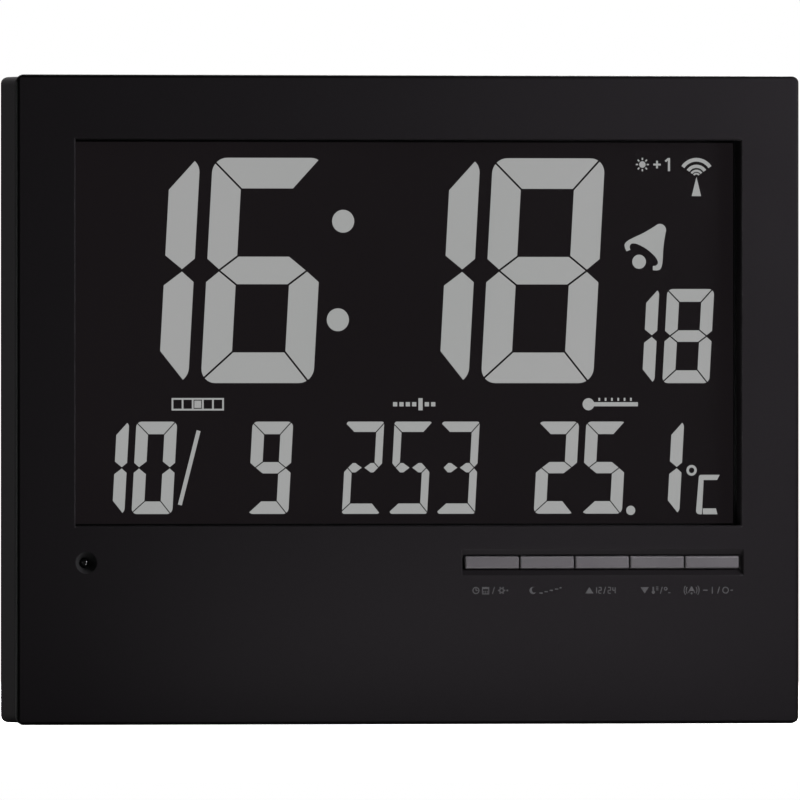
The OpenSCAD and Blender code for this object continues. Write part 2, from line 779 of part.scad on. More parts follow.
module lcd_segments() color("#a6a8a6") layer(lcd_recess - segment_t, lcd_recess) {
    time_digit(1, hours_x - time_pitch);
    time_digit(6, hours_x);
    time_digit(1, minutes_x - time_pitch);
    time_digit(8, minutes_x);
    for (rise = [-colon_rise, colon_rise])
        disc([art_scale * colon_x + rise * tan(digit_lean), time_row + rise], colon_r);
    seconds_digit(1, seconds_x - seconds_pitch);
    seconds_digit(8, seconds_x);
    small_digit(1, day_x - small_pitch);
    small_digit(0, day_x);
    translate([art_scale * slash_x, small_row]) polygon([
        [-slash_run / 2 - slash_w / 2, -slash_h / 2], [-slash_run / 2 + slash_w / 2, -slash_h / 2],
        [slash_run / 2 + slash_w / 2, slash_h / 2], [slash_run / 2 - slash_w / 2, slash_h / 2]]);
    small_digit(9, month_x);
    week_digit(2, week_x - 2 * small_pitch);
    week_digit(5, week_x - small_pitch);
    week_digit(3, week_x);
    small_digit(2, temperature_x - small_pitch);
    small_digit(5, temperature_x);
    disc([art_scale * point_x, small_row - small_digit_h / 2 + point_rise], point_r);
    small_digit(1, tenths_x);
}

// Circuit boards and what they carry

module main_board() color("#2f6b45") layer(board_front, board_back) difference() {
    union() {
        plate(0, window_z, frame_w, frame_h);
        for (p = ear_places) {
            disc(p, ear_r);
            plate(sign(p.x) * (frame_w / 2 + 0.6), p.y, 2, 2 * ear_r);
        }
    }
    for (p = ear_places) disc(p, board_screw_r + 0.15);
}

chip_x = 52;
chip_z = window_z + 4;
chip_r = 9;
chip_t = 1.8;

module controller_chip() color("#141414") turned(chip_x, chip_z) intersection() {
    translate([0, board_back + chip_t - (chip_r * chip_r + chip_t * chip_t) / (2 * chip_t)])
        circle((chip_r * chip_r + chip_t * chip_t) / (2 * chip_t), $fn = 180);
    span(0, chip_r, board_back, board_back + chip_t);
}

crystal_r = 1.5;
crystal_l = 8;

module clock_crystals() color("#c4c4c8") for (i = [0, 1])
    along_x(chip_x - 24, chip_x - 24 + crystal_l)
        disc([board_back + crystal_r, chip_z + 6 + 5 * i], crystal_r);

capacitor_r = 2.5;
capacitor_t = 3.4;

module capacitors() color("#2b3350") layer(board_back, board_back + capacitor_t)
    for (p = [[-1, 0], [0, 0], [0, -1]]) disc([chip_x + 30 + 7 * p.x, chip_z - 12 + 7 * p.y], capacitor_r);

module pan_screw(place, head_front, r, head_r, head_t, reach) turned(place.x, place.y) {
    span(0, r, head_front - reach, head_front + touch);
    span(0, head_r, head_front, head_front + head_t - 0.4);
    span(0, head_r - 0.4, head_front, head_front + head_t);
}

module board_screws() color("#b8babd") for (p = ear_places)
    pan_screw(p, board_back, board_screw_r, board_screw_head_r, board_screw_head_t,
              board_back - face_t - 0.6);

module case_screws() color("#8d9094") for (p = case_screw_places)
    pan_screw(p, boss_back + well_floor_t, screw_r, screw_head_r, screw_head_t,
              boss_back + well_floor_t - face_t - 2);

module key_board() color("#2f6b45") layer(key_board_front, key_board_back) difference() {
    plate(trough_x, key_board_z, key_board_w, key_board_h);
    for (sx = [-1, 1]) disc([trough_x + sx * key_screw_x, key_board_z], board_screw_r + 0.15);
}

module key_board_screws() color("#b8babd") for (sx = [-1, 1])
    pan_screw([trough_x + sx * key_screw_x, key_board_z], key_board_back, board_screw_r,
              board_screw_head_r, board_screw_head_t, key_board_back - face_t - 0.6);

ribbon_w = 12;
ribbon_t = 0.3;
ribbon_bend_z = key_board_z + 1.4;

module key_ribbon() color("#d8d4c4") along_x(trough_x - ribbon_w / 2, trough_x + ribbon_w / 2) {
    span(key_board_back, key_board_back + ribbon_t, key_board_z - 3, ribbon_bend_z);
    span(key_board_back, board_back + ribbon_t, ribbon_bend_z - ribbon_t, ribbon_bend_z);
    span(board_back, board_back + ribbon_t, ribbon_bend_z - ribbon_t, window_z - frame_h / 2 + 5);
}

// Buttons and switches

function button_x(i) = trough_x + (i - (button_count - 1) / 2) * button_pitch;

module button(i) color("#6b696c") {
    soft_block(button_x(i), control_z, button_w, button_h, button_front, flange_front + touch,
               button_edge_r, button_edge_r, true);
    layer(flange_front, flange_front + flange_t)
        plate(button_x(i), control_z, button_w, button_h + 2 * flange_lap);
    layer(flange_front + flange_t - touch, plunger_front) disc([button_x(i), control_z], plunger_r);
}

module plunger(i) color("#2a2a2c") layer(plunger_front, plunger_front + plunger_l)
    disc([button_x(i), control_z], plunger_r - 0.1);

module tact_switches() color("#3a3a3e") for (i = [0:button_count - 1]) difference() {
    layer(switch_front, key_board_front) plate(button_x(i), control_z, switch_w, switch_w);
    layer(switch_front - over, plunger_front + plunger_l + button_travel + fit)
        disc([button_x(i), control_z], plunger_r - 0.1 + running);
}

// Light sensor, temperature sensor, antenna and buzzer

module light_sensor() color("#1c1c20") {
    turned(sensor_x, control_z) {
        intersection() {
            translate([0, sensor_tip + sensor_r]) circle(sensor_r);
            span(0, sensor_r, sensor_tip, sensor_tip + sensor_r);
        }
        span(0, sensor_r, sensor_tip + sensor_r - touch, sensor_tube_back + touch);
        span(0, sensor_flange_r, sensor_tube_back, sensor_tube_back + sensor_flange_t);
    }
    layer(sensor_tube_back + sensor_flange_t - touch, sensor_board_front)
        for (sx = [-1, 1]) plate(sensor_x + sx * 1.27, control_z, 0.5, 0.5);
}

module sensor_board() color("#2f6b45") layer(sensor_board_front, sensor_board_front + sensor_board_t)
    plate(sensor_x, (control_z + 4 + sensor_post_z - 4) / 2, sensor_board_w, control_z - sensor_post_z + 8);

bead_r = 1.4;
bead_x = trough_x + key_board_w / 2 - 12;
bead_depth = key_board_back + 5;

module temperature_sensor() color("#20242c") {
    turned(bead_x, key_board_z) translate([0, bead_depth]) difference() {
        circle(bead_r);
        span(-2 * bead_r, 0, -2 * bead_r, 2 * bead_r);
    }
    layer(key_board_back, bead_depth - bead_r + 0.3)
        for (sx = [-1, 1]) plate(bead_x + sx * 0.6, key_board_z, 0.5, 0.5);
}

module ferrite_rod() color("#3b3a3c") along_x(rod_x - rod_l / 2, rod_x + rod_l / 2)
    disc([rod_depth, rod_z], rod_r);

module antenna_coil() color("#b0672e") along_x(rod_x - coil_l / 2, rod_x + coil_l / 2) difference() {
    disc([rod_depth, rod_z], coil_r);
    disc([rod_depth, rod_z], rod_r + running);
}

module buzzer() color("#1a1a1c") difference() {
    layer(panel_inner - buzzer_t, panel_inner) disc([buzzer_x, buzzer_z], buzzer_r);
    layer(panel_inner - 1.4, panel_inner + over) disc([buzzer_x, buzzer_z], buzzer_r - 1.6);
}

// Batteries, contacts and door

function cell_way(i) = i % 2 == 0 ? 1 : -1;
function cell_z(i) = bay_low + (i + 0.5) * cell_pitch;
nub_r = 2.6;
nub_l = 1.2;
bay_mid = (bay_left + bay_right) / 2;
cell_back = -bay_l / 2 + contact_t + spring_l + 0.2;

// One cell, drawn with its flat end at cell_back and its nub towards +X, then turned to its way
module cell(i) translate([bay_mid, y_at(cell_depth), cell_z(i)]) rotate([0, 0, cell_way(i) > 0 ? 0 : 180])
    rotate([0, 90, 0]) {
        translate([0, 0, cell_back]) cylinder(h = cell_l - nub_l, r = cell_d / 2);
        translate([0, 0, cell_back]) cylinder(h = cell_l, r = nub_r);
    }

module battery_cells() color("#3f6f52") for (i = [0:cell_count - 1]) cell(i);

spring_turns = 4;
spring_wire = 0.4;
spring_base_r = 5;
spring_tip_r = 2.8;
spring_steps = 10;
spring_points = [for (k = [0:spring_turns * spring_steps])
    let (share = k / (spring_turns * spring_steps),
         r = spring_base_r + (spring_tip_r - spring_base_r) * share,
         turn = 360 * spring_turns * share)
    [-bay_l / 2 + contact_t + spring_wire + share * (spring_l - 2 * spring_wire),
     r * cos(turn), r * sin(turn)]];

module battery_springs() color("#c9ccd0") for (i = [0:cell_count - 1])
    translate([bay_mid, y_at(cell_depth), cell_z(i)]) rotate([0, 0, cell_way(i) > 0 ? 0 : 180])
        tube(spring_points, spring_wire, 6);

contact_h = 11;

module battery_contacts() color("#c9ccd0") for (i = [0:cell_count - 1], s = [-1, 1])
    along_x(s < 0 ? bay_left : bay_right - contact_t, s < 0 ? bay_left + contact_t : bay_right)
        span(bay_floor, bay_floor + cell_d - 1, cell_z(i) - contact_h / 2, cell_z(i) + contact_h / 2);

wire_r = 0.7;
wire_gap = 5;
wire_bend = 3;
wire_rise = 8;
wire_clear = 4;
wire_exit = bay_right + bay_wall;
wire_solder = window_z - frame_h / 2 + 14;

// A lead leaves the bay's wall, turns up and back, and ends on the main board
function wire_route(k) =
    let (x = wire_exit + wire_bend + wire_gap * k / 2, z = cell_z(1) - wire_gap * k,
         behind = y_at(cell_depth), away = y_at(board_back + wire_clear))
    [[wire_exit, behind, z], [x - wire_bend / 3, behind, z], [x, behind, z + wire_bend / 2],
     [x, behind, z + wire_rise], [x, away, wire_solder - wire_rise], [x, away, wire_solder - wire_bend],
     [x, away - wire_bend / 3, wire_solder - wire_bend / 6], [x, y_at(board_back), wire_solder]];

module battery_wires() color("#b03028") for (k = [0, 1]) tube(wire_route(k), wire_r);

grip_count = 4;
grip_pitch = 2.4;
grip_w = 1.2;
grip_l = 22;
grip_deep = 0.6;
grip_drop = 6;

// The door's skirt plugs into the bay's mouth, and its ribbed patch is for the thumb
module battery_door() color("#1f1e20") difference() {
    union() {
        layer(door_front, case_d) span(door_left, door_right, door_low, door_high);
        layer(door_front - skirt_l, door_front + touch) difference() {
            span(bay_left + fit, bay_right - fit, bay_low + fit, bay_high - fit);
            span(bay_left + fit + skirt_t, bay_right - fit - skirt_t,
                 bay_low + fit + skirt_t, bay_high - fit - skirt_t);
        }
    }
    for (k = [0:grip_count - 1])
        layer(case_d - grip_deep, case_d + over)
            plate(door_mid, door_high - grip_drop - k * grip_pitch, grip_l, grip_w);
}

// Stand

module stand_outline() polygon([
    [-stand_w / 2, stand_hinge_z], [stand_w / 2, stand_hinge_z],
    [stand_half(stand_foot_z + stand_foot_cut), stand_foot_z + stand_foot_cut],
    [stand_foot_w / 2 - stand_foot_cut, stand_foot_z], [-stand_foot_w / 2 + stand_foot_cut, stand_foot_z],
    [-stand_half(stand_foot_z + stand_foot_cut), stand_foot_z + stand_foot_cut]]);

module stand_pocket(low, high) polygon([
    [-stand_half(low) + stand_rib, low], [stand_half(low) - stand_rib, low],
    [stand_half(high) - stand_rib, high], [-stand_half(high) + stand_rib, high]]);

module stand_leg() color("#1f1e20") difference() {
    union() {
        layer(stand_front, stand_back) stand_outline();
        along_x(-stand_w / 2, stand_w / 2) disc([stand_axis_depth, stand_hinge_z], stand_knuckle_r);
        along_x(-stand_w / 2, stand_w / 2)
            span(heel_front, stand_back, stand_hinge_z, stand_hinge_z + heel_l);
        along_x(-stand_w / 2 - trunnion_l, stand_w / 2 + trunnion_l)
            disc([stand_axis_depth, stand_hinge_z], trunnion_r);
    }
    bays = 3;
    first = stand_foot_z + pad_h + 2 * stand_rib;
    last = stand_hinge_z - 5;
    step = (last - first) / bays;
    layer(stand_front - over, stand_back - stand_skin)
        for (k = [0:bays - 1])
            stand_pocket(first + k * step + stand_rib / 2, first + (k + 1) * step - stand_rib / 2);
    layer(stand_front - over, stand_front + pad_t)
        plate(0, stand_foot_z + pad_h / 2 + stand_rib, stand_foot_w - 6, pad_h);
}

module stand_foot_pad() color("#2c2c2e") layer(stand_front, stand_front + pad_t)
    plate(0, stand_foot_z + pad_h / 2 + stand_rib, stand_foot_w - 6, pad_h);

front_case();
rear_case();
display_lens();
lens_gasket();
lcd_frame();
front_polarizer();
lcd_front_glass();
lcd_rear_glass();
rear_polarizer();
lcd_segments();
diffuser_film();
light_guide();
reflector_film();
backlight_board();
backlight_leds();
zebra_strips();
main_board();
controller_chip();
clock_crystals();
capacitors();
board_screws();
case_screws();
tact_switches();
key_board();
key_board_screws();
key_ribbon();
light_sensor();
sensor_board();
temperature_sensor();
ferrite_rod();
antenna_coil();
buzzer();
battery_cells();
battery_springs();
battery_contacts();
battery_wires();
battery_door();
stand_leg();
stand_foot_pad();
for (i = [0:button_count - 1]) {
    button(i);
    plunger(i);
}
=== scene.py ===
# %% [markdown]
# A digital wall clock under studio light
#
# The clock arrives as a finished mechanical model: a case of two shells, a display
# stack behind a clear lens, five front buttons, a stand and a battery bay. Its
# shapes are fixed, so this lesson only adds what a camera sees: finishes, the small
# signs on the display and the case, finer digits and screws, light and a viewpoint.
# One could rebuild every shell by hand, but then the looks and the mechanism would
# drift apart. Dressing the loaded frame keeps both in the same place.

# %% Load the frame and keep its box
import json
import math

import bmesh
import bpy
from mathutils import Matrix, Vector


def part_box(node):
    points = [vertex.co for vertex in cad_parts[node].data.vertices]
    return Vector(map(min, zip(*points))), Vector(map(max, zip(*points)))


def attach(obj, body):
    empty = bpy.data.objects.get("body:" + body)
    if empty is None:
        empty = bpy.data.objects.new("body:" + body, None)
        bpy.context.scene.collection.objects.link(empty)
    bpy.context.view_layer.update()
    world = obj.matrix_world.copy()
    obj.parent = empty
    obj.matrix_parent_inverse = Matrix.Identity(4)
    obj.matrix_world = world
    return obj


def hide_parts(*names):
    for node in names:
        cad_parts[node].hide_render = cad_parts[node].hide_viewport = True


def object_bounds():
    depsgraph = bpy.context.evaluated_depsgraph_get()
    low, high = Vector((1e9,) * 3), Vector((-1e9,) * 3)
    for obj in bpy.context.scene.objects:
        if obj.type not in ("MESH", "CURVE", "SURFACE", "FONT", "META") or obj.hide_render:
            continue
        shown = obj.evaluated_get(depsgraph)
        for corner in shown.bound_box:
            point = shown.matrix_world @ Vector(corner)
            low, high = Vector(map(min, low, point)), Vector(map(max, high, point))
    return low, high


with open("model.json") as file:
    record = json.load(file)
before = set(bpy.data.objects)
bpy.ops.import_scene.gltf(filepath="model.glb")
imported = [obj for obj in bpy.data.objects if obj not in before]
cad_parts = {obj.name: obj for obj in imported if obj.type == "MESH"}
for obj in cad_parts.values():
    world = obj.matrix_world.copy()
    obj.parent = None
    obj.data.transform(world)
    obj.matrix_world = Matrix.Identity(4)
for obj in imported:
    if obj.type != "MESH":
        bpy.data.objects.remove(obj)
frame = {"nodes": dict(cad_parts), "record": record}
cad_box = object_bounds()
nodes = frame["nodes"]
MM = 0.001
FACE = cad_box[0][1]

# %% [markdown]
# Where the camera stands
#
# A catalogue picture of a flat product is taken from far away with a long lens, so
# that parallel edges stay parallel. An orthographic camera would do the same, but it
# crops differently when the viewpoint moves. A very long lens at a great distance
# looks the same and still works from every side. The angle is read from the picture:
# round dots on the display look narrower than they are high, and the left side
# wall just shows.

# %% Camera
VIEW_AZIMUTH = math.radians(-15.6)
VIEW_TARGET = Vector((-2.78, -14.0, 93.42)) * MM
VIEW_FIELD = 230.5 * MM
LENS_MM = 1650.0
SENSOR_MM = 36.0
CLIP_NEAR = 0.5
CLIP_FAR = 40.0


def direction(azimuth, elevation):
    """Unit vector from the clock towards a place around it; azimuth 0 is straight in front."""
    flat = math.cos(elevation)
    return Vector((flat * math.sin(azimuth), -flat * math.cos(azimuth), math.sin(elevation)))


def aim(thing, target):
    """Turns a camera or lamp so that it looks at a point."""
    thing.rotation_euler = (target - thing.location).to_track_quat("-Z", "Y").to_euler()


camera_data = bpy.data.cameras.new("studio_camera")
camera_data.lens = LENS_MM
camera_data.sensor_width = SENSOR_MM
camera_data.clip_start = CLIP_NEAR
camera_data.clip_end = CLIP_FAR
camera = bpy.data.objects.new("studio_camera", camera_data)
bpy.context.scene.collection.objects.link(camera)
camera_distance = LENS_MM / SENSOR_MM * VIEW_FIELD
camera.location = VIEW_TARGET + direction(VIEW_AZIMUTH, 0.0) * camera_distance
aim(camera, VIEW_TARGET)
bpy.context.scene.camera = camera
bpy.context.scene.view_settings.view_transform = "Standard"
print("camera stands", round(camera_distance, 2), "m away")

# %% [markdown]
# Soft light for a black product
#
# Black plastic shows light only as a soft sheen, so the lamps have to be large and
# placed with care. A near softbox on the right gives the slow ramp of grey across the
# front. A slim card lying on the table before the clock throws a pool of light up at
# the lower middle and leaves the bottom edge dark, as a white table does. A slim strip
# on the left only puts a glint on the glossy sensor, and the other lamps open up the left
# side, the top and the back. One could light everything with a bright sky instead, but
# its reflection would turn the black to grey. Each lamp is described by the brightness
# that it gives a white card at its target, and its power is worked out from that and from
# its distance.

# %% Lamps
LAMP_TARGET = Vector((0.0, 0.0, 93.5)) * MM
TABLE_CARD = Vector((18.0, -74.0, 4.0)) * MM
TABLE_CARD_LOOK = Vector((0.0, 10.0, 40.0)) * MM
WHITE = (1.0, 1.0, 1.0)


def lamp(name, place, target, width, height, level, tint=WHITE):
    """Rectangular lamp that lights a white card at its target to a given level."""
    data = bpy.data.lights.new(name, "AREA")
    data.shape = "RECTANGLE"
    data.size = width
    data.size_y = height
    data.energy = level * (math.pi * (target - place).length) ** 2
    data.color = tint
    piece = bpy.data.objects.new(name, data)
    bpy.context.scene.collection.objects.link(piece)
    piece.location = place
    aim(piece, target)
    piece.visible_camera = False


def softbox(name, azimuth, elevation, distance, width, height, level, tint=WHITE):
    """Lamp somewhere around the clock that looks at its middle."""
    way = direction(math.radians(azimuth), math.radians(elevation))
    lamp(name, LAMP_TARGET + way * distance, LAMP_TARGET, width, height, level, tint)


softbox("key_right", azimuth=48, elevation=17, distance=0.43, width=0.20, height=0.18, level=1.14,
        tint=(1.04, 1.00, 1.08))
softbox("fill_left", azimuth=-108, elevation=-2, distance=0.50, width=0.16, height=0.24, level=0.42,
        tint=(0.98, 1.00, 0.99))
softbox("strip_left", azimuth=-50, elevation=6, distance=1.00, width=0.03, height=0.45, level=0.012)
softbox("back_right", azimuth=140, elevation=38, distance=1.20, width=0.70, height=0.60, level=2.60)
softbox("back_left", azimuth=-150, elevation=55, distance=1.20, width=0.70, height=0.60, level=1.20)
softbox("overhead", azimuth=180, elevation=80, distance=1.20, width=0.80, height=0.60, level=0.50)
lamp("table_card", TABLE_CARD, TABLE_CARD + TABLE_CARD_LOOK, width=0.175, height=0.030, level=5.0,
     tint=(1.02, 1.00, 1.02))

# %% [markdown]
# White surroundings that stay out of the black
#
# The picture has a pure white ground. The world is white only for rays that come
# straight from the camera or through something clear. For light that falls on the
# clock it is a dim grey room, a little brighter in front than behind, so the black
# face keeps its depth. The Light Path node tells these rays apart.

# %% Node helpers
def add(tree, kind, inputs=None, **settings):
    """New node with its settings, and each input set to a value or linked to a socket."""
    node = tree.nodes.new(kind)
    for name, value in settings.items():
        setattr(node, name, value)
    for name, value in (inputs or {}).items():
        if isinstance(value, bpy.types.NodeSocket):
            tree.links.new(value, node.inputs[name])
        else:
            node.inputs[name].default_value = value
    return node


def computed(tree, operation, first, second=0.0, third=0.0):
    """Result of a Math node on up to three values or sockets."""
    return add(tree, "ShaderNodeMath", {0: first, 1: second, 2: third}, operation=operation).outputs[0]


def in_range(tree, value, low, high, to_low=0.0, to_high=1.0):
    """Value stretched from one range to another and kept inside it."""
    return add(tree, "ShaderNodeMapRange", {
        "Value": value, "From Min": low, "From Max": high, "To Min": to_low, "To Max": to_high,
    }).outputs[0]


print("helpers: add, computed, in_range")

# %% World
ROOM_FRONT = 0.04
ROOM_BACK = 0.03
ROOM_TURN = -0.3

world = bpy.data.worlds.new("studio_room")
world.use_nodes = True
bpy.context.scene.world = world
room = world.node_tree
room.nodes.clear()
rays = add(room, "ShaderNodeLightPath").outputs
seen_white = computed(room, "MAXIMUM", rays["Is Camera Ray"], rays["Is Transmission Ray"])
ray_way = add(room, "ShaderNodeSeparateXYZ", {0: add(room, "ShaderNodeTexCoord").outputs["Generated"]})
room_grey = in_range(room, ray_way.outputs["Y"], ROOM_TURN, 1.0, ROOM_FRONT, ROOM_BACK)
room_strength = add(room, "ShaderNodeMix", {0: seen_white, 2: room_grey, 3: 1.0}).outputs[0]
background = add(room, "ShaderNodeBackground", {"Color": (*WHITE, 1.0), "Strength": room_strength})
add(room, "ShaderNodeOutputWorld", {"Surface": background.outputs[0]})
print("world:", len(room.nodes), "nodes")

# %% [markdown]
# A pale floor
#
# The clock stands on a plain table. Seen by the camera the floor adds its own white, which
# hides its edge against the white room, while the soft shadow under the case still darkens
# it. It is a round sheet, so that no corner points at the camera from any side.

# %% Helpers for pieces and materials
def piece_of(name, mesh):
    """Object in the scene from a finished bmesh, which is freed."""
    data = bpy.data.meshes.new(name)
    mesh.to_mesh(data)
    mesh.free()
    piece = bpy.data.objects.new(name, data)
    bpy.context.scene.collection.objects.link(piece)
    return piece


def dress(piece, finish):
    """Gives a piece one finish all over."""
    piece.data.materials.clear()
    piece.data.materials.append(finish)


def new_material(name):
    """Material without nodes; returns it and its tree."""
    material = bpy.data.materials.new(name)
    material.use_nodes = True
    material.node_tree.nodes.clear()
    return material, material.node_tree


def place_of(tree):
    """Place of a surface point in its object's own frame."""
    return add(tree, "ShaderNodeTexCoord").outputs["Object"]


def noise(tree, scale, detail=2.0, rough=0.5):
    """Cloudy value from 0 to 1 over the object's own place."""
    return add(tree, "ShaderNodeTexNoise", {
        "Vector": place_of(tree), "Scale": scale, "Detail": detail, "Roughness": rough}).outputs[0]


print("helpers: piece_of, dress, new_material, place_of, noise")

# %% Floor
FLOOR_REACH = 1.6
FLOOR_SIDES = 96
FLOOR_RINGS = 6
FLOOR_GLOW = 0.80
FLOOR_DIM = 0.06
FLOOR_SPECKS = 40.0
FLOOR_TONES = (0.78, 0.82)
NOISE_BODY = (0.3, 0.7)


def make_floor():
    """Round flat sheet of a few rings around its middle."""
    mesh = bmesh.new()
    middle = mesh.verts.new((0.0, 0.0, 0.0))
    turns = [2 * math.pi * k / FLOOR_SIDES for k in range(FLOOR_SIDES)]
    rings = [[mesh.verts.new((r * math.cos(a), r * math.sin(a), 0.0)) for a in turns]
             for r in (FLOOR_REACH * (k + 1) / FLOOR_RINGS for k in range(FLOOR_RINGS))]
    for k in range(FLOOR_SIDES):
        n = (k + 1) % FLOOR_SIDES
        mesh.faces.new((middle, rings[0][k], rings[0][n]))
        for near, far in zip(rings, rings[1:]):
            mesh.faces.new((near[k], far[k], far[n], near[n]))
    return piece_of("studio_floor", mesh)


def floor_material():
    """White table for the camera, and a dim one for the light that it would throw back on the black."""
    material, tree = new_material("table_white")
    seen = add(tree, "ShaderNodeLightPath").outputs["Is Camera Ray"]
    pale = in_range(tree, noise(tree, FLOOR_SPECKS, detail=3.0), *NOISE_BODY, *FLOOR_TONES)
    tone = in_range(tree, seen, 0.0, 1.0, FLOOR_DIM, pale)
    shade = add(tree, "ShaderNodeBsdfPrincipled", {
        "Base Color": tone, "Roughness": 0.9, "Specular IOR Level": 0.1})
    glow = add(tree, "ShaderNodeEmission", {"Strength": computed(tree, "MULTIPLY", seen, FLOOR_GLOW)})
    both = add(tree, "ShaderNodeAddShader", {0: shade.outputs[0], 1: glow.outputs[0]})
    add(tree, "ShaderNodeOutputMaterial", {"Surface": both.outputs[0]})
    return material


floor = make_floor()
dress(floor, floor_material())
print("floor:", len(floor.data.polygons), "faces")

# %% [markdown]
# Effects that several finishes share
#
# Real surfaces are never one flat colour. Moulded plastic carries the fine spark
# texture of its steel mould, edges are rubbed a little paler, and hands leave faint
# smooth patches. Each effect is a node group: a small machine with named inputs and
# outputs that every material can place with its own numbers. Copying the nodes into
# each material would work too, but a change would then have to be made many times.

# %% Group: moulded skin
COARSE_SHARE = 0.37
PATCH_RANGE = (0.35, 0.65)


def new_group(title, inputs, outputs, vectors=()):
    """Empty shader group; returns the group, its inputs and its outputs as sockets."""
    group = bpy.data.node_groups.new(title, "ShaderNodeTree")
    for name, value in inputs.items():
        socket = group.interface.new_socket(name, in_out="INPUT", socket_type="NodeSocketFloat")
        socket.default_value = value
    for name in outputs:
        group.interface.new_socket(name, in_out="OUTPUT", socket_type="NodeSocketFloat")
    for name in vectors:
        group.interface.new_socket(name, in_out="OUTPUT", socket_type="NodeSocketVector")
    entry = group.nodes.new("NodeGroupInput")
    result = group.nodes.new("NodeGroupOutput")
    return group, entry.outputs, result.inputs


def make_moulded_skin():
    """Grain is the number of texture pits to a metre, Mottle that of the slow patches."""
    group, given, out = new_group(
        "moulded_skin", {"Grain": 2600.0, "Mottle": 30.0}, ["Height", "Tone", "Patch"])
    pits = noise(group, given["Grain"], detail=3.0, rough=0.6)
    coarse = noise(group, computed(group, "MULTIPLY", given["Grain"], COARSE_SHARE), detail=1.0)
    group.links.new(computed(group, "ADD", pits, coarse), out["Height"])
    group.links.new(in_range(group, pits, *NOISE_BODY), out["Tone"])
    group.links.new(in_range(group, noise(group, given["Mottle"]), *PATCH_RANGE), out["Patch"])
    return group


moulded_skin = make_moulded_skin()
print("group:", moulded_skin.name, len(moulded_skin.nodes), "nodes")

# %% [markdown]
# Rubbed edges
#
# Where a corner stands proud, fingers and cloths polish it and the light catches it.
# Painting such edges by hand would tie the finish to one mesh. The Bevel node gives
# the normal that a slightly rounded edge would have. Where it differs from the plain
# normal there is an edge, and a little noise breaks the line up. The rounded normal is
# passed on too, for a finish whose edges should catch the light as round ones do.

# %% Group: rubbed edges
BREAK_RANGE = (0.35, 0.6)
BREAK_SHARES = (0.45, 1.0)


def make_rubbed_edges():
    """Mask that is 1 on sharp edges and 0 on flat ground, and the normal of edges rounded to Radius."""
    group, given, out = new_group(
        "rubbed_edges", {"Radius": 0.4 * MM, "Strength": 6.0, "Break": 260.0}, ["Mask"], ["Rounded"])
    rounded = add(group, "ShaderNodeBevel", {"Radius": given["Radius"]}, samples=6).outputs[0]
    plain = add(group, "ShaderNodeNewGeometry").outputs["Normal"]
    match = add(group, "ShaderNodeVectorMath", {0: rounded, 1: plain}, operation="DOT_PRODUCT")
    bend = computed(group, "SUBTRACT", 1.0, match.outputs["Value"])
    edge = computed(group, "MULTIPLY", bend, given["Strength"])
    broken = in_range(group, noise(group, given["Break"], detail=3.0), *BREAK_RANGE, *BREAK_SHARES)
    mask = computed(group, "MULTIPLY", edge, broken)
    group.links.new(computed(group, "MINIMUM", mask, 1.0), out["Mask"])
    group.links.new(rounded, out["Rounded"])
    return group


rubbed_edges = make_rubbed_edges()
print("group:", rubbed_edges.name, len(rubbed_edges.nodes), "nodes")

# %% [markdown]
# Fine parallel lines
#
# Wound copper, ribbon cable and striped rubber all show lines that run one way. A
# Wave texture makes them from the surface's own place. The group takes how many lines
# there are to a metre and how much they waver. All of them lie across X on this clock,
# so it needs no direction. A Wave texture of scale 1 has 20 lines to 2 pi metres.

# %% Group: drawn lines
WAVE_SCALE = 2 * math.pi / 20


def make_drawn_lines():
    """Lines across X, Lines of them to a metre; Waver bends them a little."""
    group, given, out = new_group("drawn_lines", {"Lines": 2000.0, "Waver": 0.4}, ["Height"])
    wave = add(group, "ShaderNodeTexWave", {
        "Vector": place_of(group), "Scale": computed(group, "MULTIPLY", given["Lines"], WAVE_SCALE),
        "Distortion": given["Waver"], "Detail": 2.0}, wave_type="BANDS", bands_direction="X")
    group.links.new(wave.outputs["Fac"], out["Height"])
    return group


drawn_lines = make_drawn_lines()
print("group:", drawn_lines.name, len(drawn_lines.nodes), "nodes")

# %% [markdown]
# A finish from a few numbers
#
# Most of the small pieces are plain mouldings, films or metals that differ in colour,
# gloss and grain. One function builds such a finish: two close colours mixed by the
# grain, a third for rubbed edges, a roughness that wanders between two values and a
# bump. Whatever is the same all over, such as how metallic it is, is set straight on the
# shader.

# %% Colours, groups and relief
def rgb(red, green, blue):
    """Opaque colour."""
    return (red, green, blue, 1.0)


def grey(value, warm=0.0):
    """Neutral colour, a touch warmer or cooler."""
    return rgb(value * (1 + warm), value, value * (1 - warm))


def mixed(tree, share, first, second):
    """Colour between two colours or sockets."""
    return add(tree, "ShaderNodeMix", {0: share, 6: first, 7: second}, data_type="RGBA").outputs[2]


def between(tree, share, low, high):
    """Number between two numbers or sockets."""
    return in_range(tree, share, 0.0, 1.0, low, high)


def use_group(tree, group, **given):
    """Places a group in a material with its own numbers; returns the group's outputs."""
    return add(tree, "ShaderNodeGroup", given, node_tree=group).outputs


def bumped(tree, height, strength, depth, **more):
    """Normal of a surface with fine relief."""
    relief = {"Height": height, "Strength": strength, "Distance": depth, **more}
    return add(tree, "ShaderNodeBump", relief).outputs[0]


def close_material(material, tree, values):
    """Ends a material with a Principled shader that takes the given values and sockets."""
    shader = add(tree, "ShaderNodeBsdfPrincipled", values)
    add(tree, "ShaderNodeOutputMaterial", {"Surface": shader.outputs[0]})
    return material


print("helpers: rgb, grey, mixed, between, use_group, bumped, close_material")

# %% Plain finish
SKIN_DEPTH = 0.02 * MM
SKIN_STRENGTH = 0.6
finishes = {}


